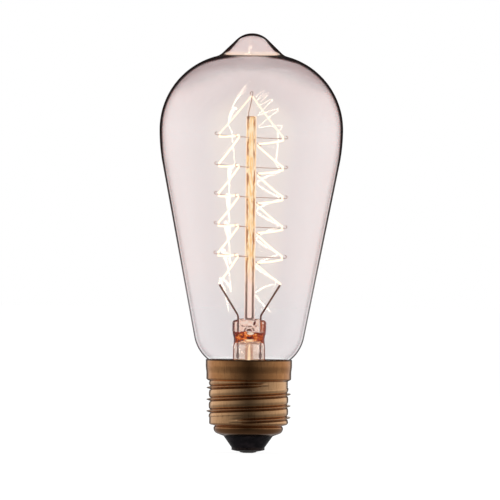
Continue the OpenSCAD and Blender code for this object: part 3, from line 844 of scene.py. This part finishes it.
def rounded(path, r, n):
    """The path with each corner turned in n steps."""
    p = [np.array(q, float) for q in path]
    out = [p[0]]
    for before, corner, after in zip(p, p[1:], p[2:]):
        a = corner + r * (before - corner) / np.linalg.norm(before - corner)
        b = corner + r * (after - corner) / np.linalg.norm(after - corner)
        for u in np.linspace(0, 1, n + 1):
            out.append((1 - u) ** 2 * a + 2 * u * (1 - u) * corner + u * u * b)
    return out + [p[-1]]


def smooth_step(x, low, high):
    t = np.clip((x - low) / (high - low), 0, 1)
    return t * t * (3 - 2 * t)


# Bulb, stem, pumping tube and rod


def cos_sin(degrees):
    a = math.radians(degrees)
    return np.array([math.cos(a), math.sin(a)])


def bulb_outline():
    """Neck, hollow, foot, flank, dome, tip hollow and tip, as the source draws them."""
    rim_inner = RIM_R - SHELL_WALL
    foot_c = np.array([rim_inner - 0.06, RIM_Z]) - FOOT_R * cos_sin(-FOOT_ANGLE)
    belly_c = np.array([BULB_R - BELLY_R, WIDEST_Z])
    run = belly_c - foot_c
    flank = math.degrees(
        math.acos((FOOT_R - BELLY_R) / np.linalg.norm(run)) - math.atan2(run[1], run[0])
    )
    hollow_r = NECK_R + NECK_HOLLOW_R
    drop = math.sqrt((FOOT_R + NECK_HOLLOW_R) ** 2 - (hollow_r - foot_c[0]) ** 2)
    hollow_c = np.array([hollow_r, foot_c[1] - drop])
    turn = math.degrees(math.atan2(drop, hollow_r - foot_c[0]))
    dome_c = np.array([BULB_R - DOME_R, WIDEST_Z])
    tip_c = np.array([0.0, TIP_Z - TIP_R])
    along = cos_sin(TIP_ANGLE).dot(tip_c - dome_c)
    reach = DOME_R + TIP_HOLLOW_R
    tip_turn = TIP_ANGLE + math.degrees(math.acos((along + TIP_R + TIP_HOLLOW_R) / reach))
    tip_hollow_c = dome_c + reach * cos_sin(tip_turn)
    return (
        [(NECK_R, NECK_Z)]
        + arc(hollow_c, NECK_HOLLOW_R, 180, 180 - turn, 10)
        + arc(foot_c, FOOT_R, 1 - turn, -flank, 24)
        + arc(belly_c, BELLY_R, 1 - flank, 0, 20)
        + arc(dome_c, DOME_R, 2, tip_turn, 40)
        + arc(tip_hollow_c, TIP_HOLLOW_R, 176 + tip_turn, 180 + TIP_ANGLE, 10)
        + arc(tip_c, TIP_R, TIP_ANGLE, 88, 18)
        + [(0.0, TIP_Z)]
    )


def make_bulb():
    outside = bulb_outline()
    inside = inset(outside[:-1], GLASS_WALL) + [(0.0, TIP_Z - GLASS_WALL)]
    line = outside + list(reversed(inside))
    points, faces, rows = lathe(line, 160, True)
    inner = [1 if row >= len(outside) else 0 for row in rows]
    finishes = ["bulb_glass", "bulb_inside"]
    return piece("bulb", points, faces, "glass_envelope", "bulb_glass", finishes, inner)


# The press: lobes, plate, waist, the dimple and lip of the pumping hole, and a crease
LOBE_X, LOBE_A, LOBE_B = 4.18, 1.07, 1.65
LOBE_TOP_Z = 41.3
PLATE_A, PLATE_B = 3.75, 1.55
PRESS_WAIST, PRESS_WAIST_Z, PRESS_WAIST_H = 0.09, 35.2, 1.7
DIMPLE_R, DIMPLE_DEPTH = 0.7, 0.6
LIP_RING_R, LIP_RING_W, LIP_RING_H = 1.5, 0.3, 0.30
CREASE_Z, CREASE_W, CREASE_DEPTH = 39.2, 0.18, 0.10
PRESS_ROUND = 0.7
TUBE_STEPS_Z = 25.0
BORE_TOP_Z = 33.0
BORE_DOME_H = 2.4


def lobe_reach(angle, shrink):
    """How far the swelling round a wire reaches from the axis at an angle."""
    a, b = LOBE_A * shrink, LOBE_B * shrink
    if a < 0.02:
        return 0.0
    c, s = abs(math.cos(angle)), math.sin(angle)
    p = c * c / a**2 + s * s / b**2
    q = -2 * LOBE_X * c / a**2
    root = q * q - 4 * p * (LOBE_X**2 / a**2 - 1)
    return (math.sqrt(root) - q) / (2 * p) if root > 0 else 0.0


def plate_reach(angle, shrink):
    c, s = abs(math.cos(angle)), abs(math.sin(angle))
    a, b = PLATE_A - shrink, PLATE_B - shrink
    return ((c / a) ** 5 + (s / b) ** 5) ** -0.2


def press_ring(z, shrink, sides):
    """One level of the press: a flat plate with a swelling round the wire at each side."""
    flat = float(smooth_step(z, PRESS_FOOT_Z, PRESS_FLAT_Z))
    left = LOBE_TOP_Z - z
    lobe = math.sqrt(max(0.0, 1 - max(0.0, (LOBE_A - left) / LOBE_A) ** 2))
    ring = []
    for t in turns(sides):
        reach = (plate_reach(t, shrink) ** 14 + lobe_reach(t, lobe) ** 14) ** (1 / 14)
        reach = STEM_R + flat * (reach - STEM_R)
        reach *= 1 - PRESS_WAIST * math.exp(-(((z - PRESS_WAIST_Z) / PRESS_WAIST_H) ** 2))
        x, y = reach * math.cos(t), reach * math.sin(t)
        if y < 0 and abs(x) < 3:
            away = math.hypot(x, z - EXHAUST_HOLE_Z)
            y += flat * DIMPLE_DEPTH * math.exp(-((away / DIMPLE_R) ** 4))
            y -= flat * LIP_RING_H * math.exp(-(((away - LIP_RING_R) / LIP_RING_W) ** 2))
        crease = math.exp(-(((z - CREASE_Z - 0.03 * x * x) / CREASE_W) ** 2))
        y *= 1 - CREASE_DEPTH * flat * crease
        ring.append((x, y, z))
    return ring


def make_stem():
    """Flare, tube and press as one glass skin, open below as the real one is."""
    sides = 176
    flare_r = NECK_R - FLARE_LIP - STEM_R
    outer = [(NECK_R, NECK_Z), (NECK_R - FLARE_LIP, NECK_Z)] + arc(
        (STEM_R + flare_r, NECK_Z + flare_r), flare_r, 262, 180, 14
    )
    rings = [turned(r, z, sides) for r, z in outer]
    rings += [turned(STEM_R, z, sides) for z in np.arange(TUBE_STEPS_Z, PRESS_FOOT_Z, 0.7)]
    for z in np.arange(PRESS_FOOT_Z, PRESS_Z - PRESS_ROUND, 0.12):
        rings.append(press_ring(z, 0.0, sides))
    for a in np.radians(np.linspace(0, 90, 10)):
        z = PRESS_Z - PRESS_ROUND + PRESS_ROUND * math.sin(a)
        rings.append(press_ring(z, PRESS_ROUND * (1 - math.cos(a)), sides))
    bore_r = STEM_R - STEM_WALL
    bore = [turned(r, z, sides) for r, z in inset(outer, STEM_WALL)]
    bore += [turned(bore_r, z, sides) for z in np.arange(TUBE_STEPS_Z, BORE_TOP_Z, 0.7)]
    for a in np.radians(np.linspace(0, 84, 12)):
        wide, deep = bore_r * math.cos(a) ** 0.6, bore_r * math.cos(a)
        bore.append(oval(wide, deep, BORE_TOP_Z + BORE_DOME_H * math.sin(a), sides))
    points, faces = skin(rings, bore, sides)
    outer_faces, bore_faces = (len(rings) - 1) * sides, (len(bore) - 1) * sides
    inside = [0] * outer_faces + [1] * bore_faces + [0] * (2 * sides) + [1] * sides
    finishes = ["stem_glass", "stem_bore"]
    return piece("stem", points, faces, "stem_flare", "stem_glass", finishes, inside)


def skin(rings, bore, sides):
    """One closed skin: up the outer rings, over the top, and the bore inside, joined below."""
    points = [p for ring in rings + bore for p in ring]
    first = len(rings) * sides
    faces = quads(len(rings), sides)
    faces += [tuple(first + i for i in reversed(face)) for face in quads(len(bore), sides)]
    faces += [(m, k, first + k, first + m) for k, m in next_to(sides)]
    faces += capped(first - sides, sides, rings[-1], points, False)
    faces += capped(first + (len(bore) - 1) * sides, sides, bore[-1], points, True)
    return points, faces


def capped(first, sides, ring, points, flip):
    """Faces from a ring to a new point in its middle."""
    centre = len(points)
    points.append(tuple(np.mean(np.array(ring), axis=0)))
    faces = [(first + k, first + m, centre) for k, m in next_to(sides)]
    return [tuple(reversed(f)) for f in faces] if flip else faces


def make_exhaust():
    """Pumping tube, open in the press and sealed off below."""
    bore, end_wall, lip = 0.95, 0.5, 0.2
    low, high = 13.5, 34.4
    bore_low = low + EXHAUST_R + end_wall
    line = (
        [(0.0, low)]
        + arc((0.0, low + EXHAUST_R), EXHAUST_R, -80, 0, 8)
        + [(EXHAUST_R, high - lip), (EXHAUST_R - lip, high)]
        + [(bore + lip, high), (bore, high - lip), (bore, bore_low)]
        + arc((0.0, bore_low), bore, 0, -80, 6)[1:]
        + [(0.0, bore_low - bore)]
    )
    points, faces, _ = lathe(line, 64, False)
    return piece("pumping_tube", points, faces, "exhaust_tube", "stem_glass", ["exhaust_glass"])


def make_rod():
    """Drawn rod: a hair uneven along its length, with a small bead of glass at each hook."""
    seat_z, foot_w, foot_h, round_r = PRESS_Z - 0.5, 0.75, 0.35, 0.5
    drawn_r, bead_w, bead_h = ROD_R - 0.03, 0.06, 0.7
    line = [(0.0, seat_z), (ROD_R + foot_w, seat_z)]
    beads = [tier_z(t) for t in range(1, TIERS + 1)]
    low = seat_z + 0.1
    for z in np.arange(low, ROD_TOP_Z - 0.6, 0.2):
        swell = sum(math.exp(-(((z - b) / bead_h) ** 2)) for b in beads)
        wander = 0.02 * math.sin(z * 0.9) + 0.012 * math.sin(z * 2.3 + 1.0)
        foot = foot_w * math.exp((low - z) / foot_h)
        line.append((drawn_r + wander + bead_w * swell + foot, z))
    line += arc((ROD_R - round_r, ROD_TOP_Z - round_r), round_r, 0, 90, 8)
    line += [(0.0, ROD_TOP_Z)]
    points, faces, _ = lathe(line, 64, False)
    return piece("rod", points, faces, "support_rod", "rod_glass")


# Hooks, strand and leads


def tier_z(tier):
    return TOP_TIER_Z - TIER_PITCH * (tier - 1)


def arm_way(arm):
    return cos_sin(ARM_TURN + 90 * arm + (FRONT_TURN if arm == 3 else 0))


def anchor(tier, arm):
    c, s = arm_way(arm)
    return np.array([ANCHOR_R * c, ANCHOR_R * s, tier_z(tier) + ARM_RISES[arm]])


UP = np.array([0, 0, 1.0])
TOP_BAR_Z = ROD_TOP_Z + TOP_HOOK_H
TOP_BAR_Y = HOOK_BEND_R + STRAND_D + STRAND_GAP


def make_top_hook():
    """Wire up from the rod, forward under the strand and back over it in an open loop."""
    reach = TOP_BAR_Y + HOOK_BEND_R
    over = [
        (
            -TOP_LOOP_X * math.sin(2 * a),
            reach * math.cos(a),
            TOP_BAR_Z + HOOK_BEND_R + (TOP_LOOP_H - HOOK_BEND_R) * math.sin(a),
        )
        for a in np.radians(np.linspace(160, 30, 27))
    ]
    path = rounded(
        [
            (-TOP_FOOT_X, 0, ROD_TOP_Z - HOOK_SEAT),
            (-TOP_FOOT_X, 0, ROD_TOP_Z + HOOK_SEAT),
            (-TOP_FOOT_X / 2, TOP_BAR_Y, ROD_TOP_Z + TOP_HOOK_H / 2),
            (0, reach, TOP_BAR_Z - HOOK_BEND_R),
            (0, reach, TOP_BAR_Z),
            (0, -reach, TOP_BAR_Z),
            over[0],
        ],
        0.35,
        6,
    )
    path += over[1:]
    points, faces = sweep(path, TOP_WIRE_D / 2, 12)
    return piece("top_hook_wire", points, faces, "top_hook", "nickel_wire", ["hook_wire"])


def turn_round(centre, r, from_way, over_way, half):
    """Points on an arc about a centre, half as many degrees to each side of its middle."""
    angles = np.radians(np.linspace(-half, half, 11))
    return [centre + r * (math.sin(a) * from_way + math.cos(a) * over_way) for a in angles]


def hook_turn(tier, arm, swing, climb):
    c, s = arm_way(arm)
    side = swing * np.array([-s, c, 0.0])
    wrap = (STRAND_D + HOOK_WIRE_D) / 2 + STRAND_GAP
    return turn_round(anchor(tier, arm), wrap, climb * UP, side, HOOK_TURN_HALF)


def lead_run(side):
    """A lead's bend and tip, and the way from one to the other."""
    bend = np.array([side * LEAD_X, 0, PRESS_Z + LEAD_BEND_H])
    tip = np.array([side * LEAD_TIP[0], 0, PRESS_Z + LEAD_TIP[1]])
    return bend, tip, (tip - bend) / np.linalg.norm(tip - bend)


def strand_end(side):
    _, tip, way = lead_run(side)
    return tip + (STRAND_D + STRAND_GAP) / 2 * way


def strand_line():
    """The strand's middle line and, for each point, how far it is from a hook."""
    stops = [[strand_end(-1)]]
    for tier in range(TIERS, 0, -1):
        stops += [hook_turn(tier, 3, 1, 1), hook_turn(tier, 2, -1, 1)]
    top_wrap = (STRAND_D + TOP_WIRE_D) / 2 + STRAND_GAP
    across = np.array([1.0, 0, 0])
    stops.append(turn_round(TOP_BAR_Z * UP, top_wrap, across, UP, TOP_TURN_HALF))
    for tier in range(1, TIERS + 1):
        stops += [hook_turn(tier, 0, -1, -1), hook_turn(tier, 1, 1, -1)]
    stops.append([strand_end(1)])
    line, away = [], []
    for i, stop in enumerate(stops):
        line += stop
        away += [0.0] * len(stop)
        if i + 1 < len(stops):
            p, q = stop[-1], stops[i + 1][0]
            n = int(np.linalg.norm(q - p) / 0.5)
            for j in range(1, n):
                u = j / n
                line.append(p + (q - p) * u - 4 * u * (1 - u) * STRAND_SAG * UP)
                away.append(min(u, 1 - u) * np.linalg.norm(q - p))
    return np.array(line), np.array(away)


def make_strand():
    """The strand as the fine coil that it is: about 1600 turns of hot wire."""
    wire, pitch, per_turn, sides = 0.10, 0.22, 9, 4
    line, away = strand_line()
    step = np.linalg.norm(np.diff(line, axis=0), axis=1)
    s = np.concatenate([[0], np.cumsum(step)])
    at = np.arange(0, s[-1], pitch / per_turn)
    centre = np.stack([np.interp(at, s, line[:, i]) for i in range(3)], 1)
    ahead = np.gradient(centre, axis=0)
    even = np.ones(per_turn) / per_turn
    padded = [np.pad(row, per_turn // 2, "edge") for row in ahead.T]
    ahead = np.stack([np.convolve(row, even, "valid") for row in padded], 1)
    ahead /= np.linalg.norm(ahead, axis=1)[:, None]
    across = across_of(ahead)
    over = np.cross(ahead, across)
    turn = 2 * np.pi * at / pitch
    r = (STRAND_D - wire) / 2
    coil = centre + r * (np.cos(turn)[:, None] * across + np.sin(turn)[:, None] * over)
    points, faces = sweep(coil, wire / 2, sides)
    made = piece("strand", points, faces, "filament", "filament")
    heat = smooth_step(np.interp(at, s, away), COOL_RUN, HOT_RUN)
    attribute = made.data.attributes.new("heat", "FLOAT", "POINT")
    attribute.data.foreach_set("value", np.repeat(heat, sides).astype(np.float32))
    return made


# A lead's radii along its thickened tip: how far back from the end, and the radius there
LEAD_FOLD = (
    (3.0, 0.30), (2.4, 0.31), (1.9, 0.335), (1.4, 0.34),
    (0.8, 0.34), (0.3, 0.33), (0.06, 0.29), (0.0, 0.16),
)


def make_lead(side, name, node):
    """Nickel lead out of the press, thicker at its tip, which stands for the real lead's fold
    over the strand.
    """
    bend, tip, way = lead_run(side)
    foot = np.array([side * LEAD_X, 0, PRESS_Z - LEAD_SEAT])
    shank = rounded([foot, bend, tip], 0.7, 8)[:-1]
    points, faces = sweep(
        shank + [tip - way * back for back, _ in LEAD_FOLD],
        [LEAD_D / 2] * len(shank) + [r for _, r in LEAD_FOLD],
        16,
    )
    return piece(name, points, faces, node, "nickel_wire")


# Cap


# Rolled section of the thread: its crest, and the crowned land between the crests
CREST_ROUND, CREST_W = 0.16, 0.40
LAND_NEAR, LAND_FAR = 0.50, 0.86
CROWN_H, CROWN_W = 0.19, 1.2
RUN_OUT = 0.3


def cap_line():
    """Outer outline of the cap without its thread, from the lip up to the rim: shoulder,
    groove, thread wall, skirt and the band that swells out to the rim."""
    line = [(LIP_R, SHELL_Z)]
    corner = (SHOULDER_R - SHOULDER_ROUND, SHOULDER_Z - SHOULDER_BAND_H)
    line += arc(corner, SHOULDER_ROUND, -70, 0, 14)
    line += [(SHOULDER_R - 0.02, SHOULDER_Z - 0.10), (SHOULDER_R - 0.10, SHOULDER_Z + 0.01)]
    line += [(GROOVE_R + 0.06, SHOULDER_Z + 0.22), (GROOVE_R, SHOULDER_Z + 0.32)]
    line += [(GROOVE_R + 0.14, SHOULDER_Z + 0.40)]
    line += [(ROOT_R - 0.42, THREAD_Z - 0.26), (ROOT_R - 0.10, THREAD_Z - 0.07)]
    line += [(ROOT_R, z) for z in np.arange(THREAD_Z + 0.1, THREAD_TOP_Z - 0.05, 0.1)]
    line += [(ROOT_R + 0.12, THREAD_TOP_Z + 0.04), (ROOT_R + 0.62, THREAD_TOP_Z + 0.28)]
    line += [(SKIRT_R - 0.16, SKIRT_Z - 0.17), (SKIRT_R - 0.03, SKIRT_Z - 0.03)]
    for z in np.arange(23.1, 28.8, 0.1):
        swell = smooth_step(z, RIM_BAND_Z - RIM_SWELL_H, RIM_BAND_Z + RIM_SWELL_H)
        line.append((SKIRT_R + (RIM_R - SKIRT_R) * float(swell), z))
    line += [(RIM_R - 0.03, RIM_Z - 0.07), (RIM_R - 0.12, RIM_Z)]
    return line


def thread_radius(angle, z):
    """Radius of the rolled thread at an angle in degrees and a height."""
    turned_by = (angle - THREAD_START) / 360
    risen = (z - THREAD_Z - THREAD_MARGIN) / THREAD_PITCH - turned_by
    nearest = np.round(risen)
    off = np.abs(risen - nearest) * THREAD_PITCH
    along = nearest + turned_by
    length = (THREAD_TOP_Z - THREAD_Z - 2 * THREAD_MARGIN) / THREAD_PITCH
    there = smooth_step(along, -0.02, 0.10)
    there *= 1 - smooth_step(along, length - 0.10, length + 0.02)
    land = ROOT_R + 0.02
    crest = np.clip(1 - (np.hypot(off, CREST_ROUND) - CREST_ROUND) / CREST_W, 0, 1)
    shoulder = smooth_step(off, LAND_NEAR, LAND_FAR)
    crown = CROWN_H * np.clip(1 - ((off - THREAD_PITCH / 2) / CROWN_W) ** 2, 0, 1)
    rolled = NOTCH_R + crest * (CREST_R - NOTCH_R) + shoulder * (land - NOTCH_R + crown)
    return land + (rolled - land) * there


def make_cap():
    """Screw shell with its rolled thread: an outer skin, the rim's edge and a plain inside."""
    sides = 240
    outer = cap_line()
    inner = inset(outer, SHELL_WALL)
    inner = [(r, z) for r, z in inner if z > THREAD_TOP_Z or z < THREAD_Z or r < ROOT_R]
    angles = np.arange(sides) * 360.0 / sides
    points = []
    for r, z in outer:
        if THREAD_Z < z < THREAD_TOP_Z:
            edge = smooth_step(z, THREAD_Z, THREAD_Z + RUN_OUT)
            edge *= 1 - smooth_step(z, THREAD_TOP_Z - RUN_OUT, THREAD_TOP_Z)
            radii = r + (thread_radius(angles, z) - r) * edge
        else:
            radii = np.full(sides, r)
        points += [(q * x, q * y, z) for q, (x, y, _) in zip(radii, turned(1.0, z, sides))]
    for r, z in reversed(inner):
        if THREAD_Z - RUN_OUT < z < THREAD_TOP_Z + 0.2:
            r = min(r, NOTCH_R - SHELL_WALL)
        points += turned(r, z, sides)
    faces = quads(len(outer) + len(inner), sides, True)
    return piece("screw_cap", points, faces, "screw_shell", "cap_brass")


def lump(x, y, seed):
    """A low unevenness, the same each run."""
    return (
        math.sin(x * 3.1 + seed) * math.cos(y * 2.7 - seed)
        + 0.5 * math.sin(x * 6.7 - 2 * seed) * math.sin(y * 5.9 + seed)
    )


def make_side_solder():
    """Solder over the side lead's end at the back of the rim."""
    sides, rows = 48, 10
    size, height, squat, lift, middle_z = 1.08, 0.5208, 0.98, 0.02, 27.8
    points = []
    for i in range(rows + 1):
        u = i / rows
        for a in turns(sides):
            reach = size * math.cos(u * math.pi / 2) * (1 + 0.05 * lump(a, 0.4, 1.3))
            x, z = reach * math.cos(a), reach * math.sin(a)
            rise = height * math.sin(u * math.pi / 2) * (1 + 0.07 * lump(2 * x, 2 * z, 0.6))
            surface = math.sqrt(RIM_R**2 - x * x)
            points.append((x, surface + lift + rise, middle_z + squat * z))
    faces = [(a, d, c, b) for a, b, c, d in quads(rows + 1, sides)] + [tuple(range(sides))]
    return piece("rim_solder", points, faces, "side_solder", "solder")


# Pieces whose own shape is kept


def dress(node, finish):
    """A node whose own shape is right gets its finish."""
    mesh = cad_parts[node].data
    mesh.materials.clear()
    mesh.materials.append(FINISHES[finish])


make_bulb()
make_stem()
make_exhaust()
make_rod()
make_top_hook()
make_strand()
make_lead(-1, "lead_left", "inner_lead_left")
make_lead(1, "lead_right", "inner_lead_right")
make_cap()
make_side_solder()

for tier in range(1, TIERS + 1):
    dress(f"support_wires_tier_{tier}", "hook_wire")
dress("seal_wire_left", "seal_wire")
dress("seal_wire_right", "seal_wire")
dress("weld_knots", "welded_wire")
dress("side_lead", "copper_lead")
dress("centre_lead", "copper_lead")
dress("insulator", "black_insulator")
dress("centre_contact", "contact_metal")
dress("contact_solder", "solder")
dress("capping_cement", "cement")


# Studio


def room_level(paint, back):
    """How bright the room is in a direction, from -1 in front of the lamp to 1 behind it:
    dim in front, bright at the sides, dark screens beside a white backdrop."""
    level = 0.07 + 0.80 * paint.highest((back + 1.0) / 1.42, 0.0) ** 0.72
    level = level * paint.ease(back, 0.74, 0.90, 1.0, 0.12)
    return level + paint.ease(back, 0.985, 0.995)


def ray_kinds(paint):
    """1 for what the eye or clear glass sees, and 1 for what is mirrored."""
    camera, glossy, through = paint.ray_is("Camera", "Glossy", "Transmission")
    seen = paint.maths("MINIMUM", camera + through, 1.0)
    return seen, glossy * (1 - seen)


def white_floor(paint):
    """White where it is seen, as dim as the room where it is mirrored. It keeps the shadow."""
    seen, mirrored = ray_kinds(paint)
    x, y, _ = paint.axes()
    away = paint.maths("SQRT", x * x + y * y + 0.0001)
    # Painted shade: as mirrored, the floor is dimmer close to the object.
    near = paint.ease(away, 0.02, 0.35, 0.55, 1.0) * paint.ease(away, 0.3, 1.8, 0.82, 1.0)
    level = near * room_level(paint, y / away)
    grey = paint.node("ShaderNodeCombineColor", None, {0: level, 1: level, 2: level})
    white = (0.9, 0.9, 0.9)
    plain = paint.surface(Base_Color=white, Roughness=1.0, Specular_IOR_Level=0.0)
    shown = paint.blend(mirrored, (1, 1, 1), grey)
    glow = paint.node("ShaderNodeEmission", None, {"Color": shown, "Strength": 1.06})
    return paint.mix(0.84 * seen + 0.99 * mirrored, plain, glow)


def make_floor():
    size = 6.0
    mesh = bpy.data.meshes.new("floor")
    corners = [(-size, -size, 0), (size, -size, 0), (size, size, 0), (-size, size, 0)]
    mesh.from_pydata(corners, [], [(0, 1, 2, 3)])
    mesh.materials.append(finish_of("white_floor", white_floor))
    placed("floor", mesh)


def make_world():
    """White where it is seen, the room where it is mirrored, and plain light elsewhere."""
    world = bpy.data.worlds.new("studio")
    bpy.context.scene.world = world
    world.use_nodes = True
    world.cycles.sampling_method = "NONE"
    paint = Paint(world.node_tree)
    seen, mirrored = ray_kinds(paint)
    x, y, _ = paint.axes(paint.node("ShaderNodeTexCoord", out="Generated"))
    back = y / paint.maths("SQRT", x * x + y * y + 0.01)
    level = seen + mirrored * room_level(paint, back) + 0.8 * (1 - seen - mirrored)
    inputs = {"Color": (1, 1, 1), "Strength": level}
    shader = paint.node("ShaderNodeBackground", None, inputs)
    paint.node("ShaderNodeOutputWorld", None, {"Surface": shader})


def make_lamp(name, place, size, watts):
    """A soft window of light, turned to the middle of the object."""
    aim_at = (0, 0, 0.065)
    data = bpy.data.lights.new(name, "AREA")
    data.shape = "RECTANGLE"
    data.size, data.size_y = size
    data.energy = watts
    lamp = placed(name, data)
    lamp.location = place
    aim = Vector(aim_at) - Vector(place)
    lamp.rotation_euler = aim.to_track_quat("-Z", "Y").to_euler()
    lamp.visible_glossy = False


def make_camera():
    """About level with the middle of the object, far off through a long lens."""
    far, aside, eye_z, lean = 2.4, -0.00003, 0.0630, math.radians(0.6)
    sensor, pixel, frame_px = 36.0, 0.0003105, 500
    data = bpy.data.cameras.new("camera")
    data.sensor_width = sensor
    data.lens = sensor * far / (pixel * frame_px)
    data.clip_start, data.clip_end = 0.05, 50.0
    camera = placed("camera", data)
    stand = Matrix.Translation((aside, -far, eye_z))
    upright = Matrix.Rotation(math.radians(90), 4, "X")
    camera.matrix_world = stand @ upright @ Matrix.Rotation(lean, 4, "Z")
    bpy.context.scene.camera = camera


make_floor()
make_world()
make_lamp("left_lamp", (-0.9, -0.25, 0.45), (0.7, 0.9), 5.0)
make_lamp("right_lamp", (0.9, -0.25, 0.45), (0.7, 0.9), 5.0)
make_lamp("top_lamp", (0.0, 0.3, 1.2), (0.9, 0.9), 4.0)
make_camera()

bpy.context.scene.view_settings.view_transform = "Standard"
bpy.context.scene.cycles.transparent_max_bounces = 32
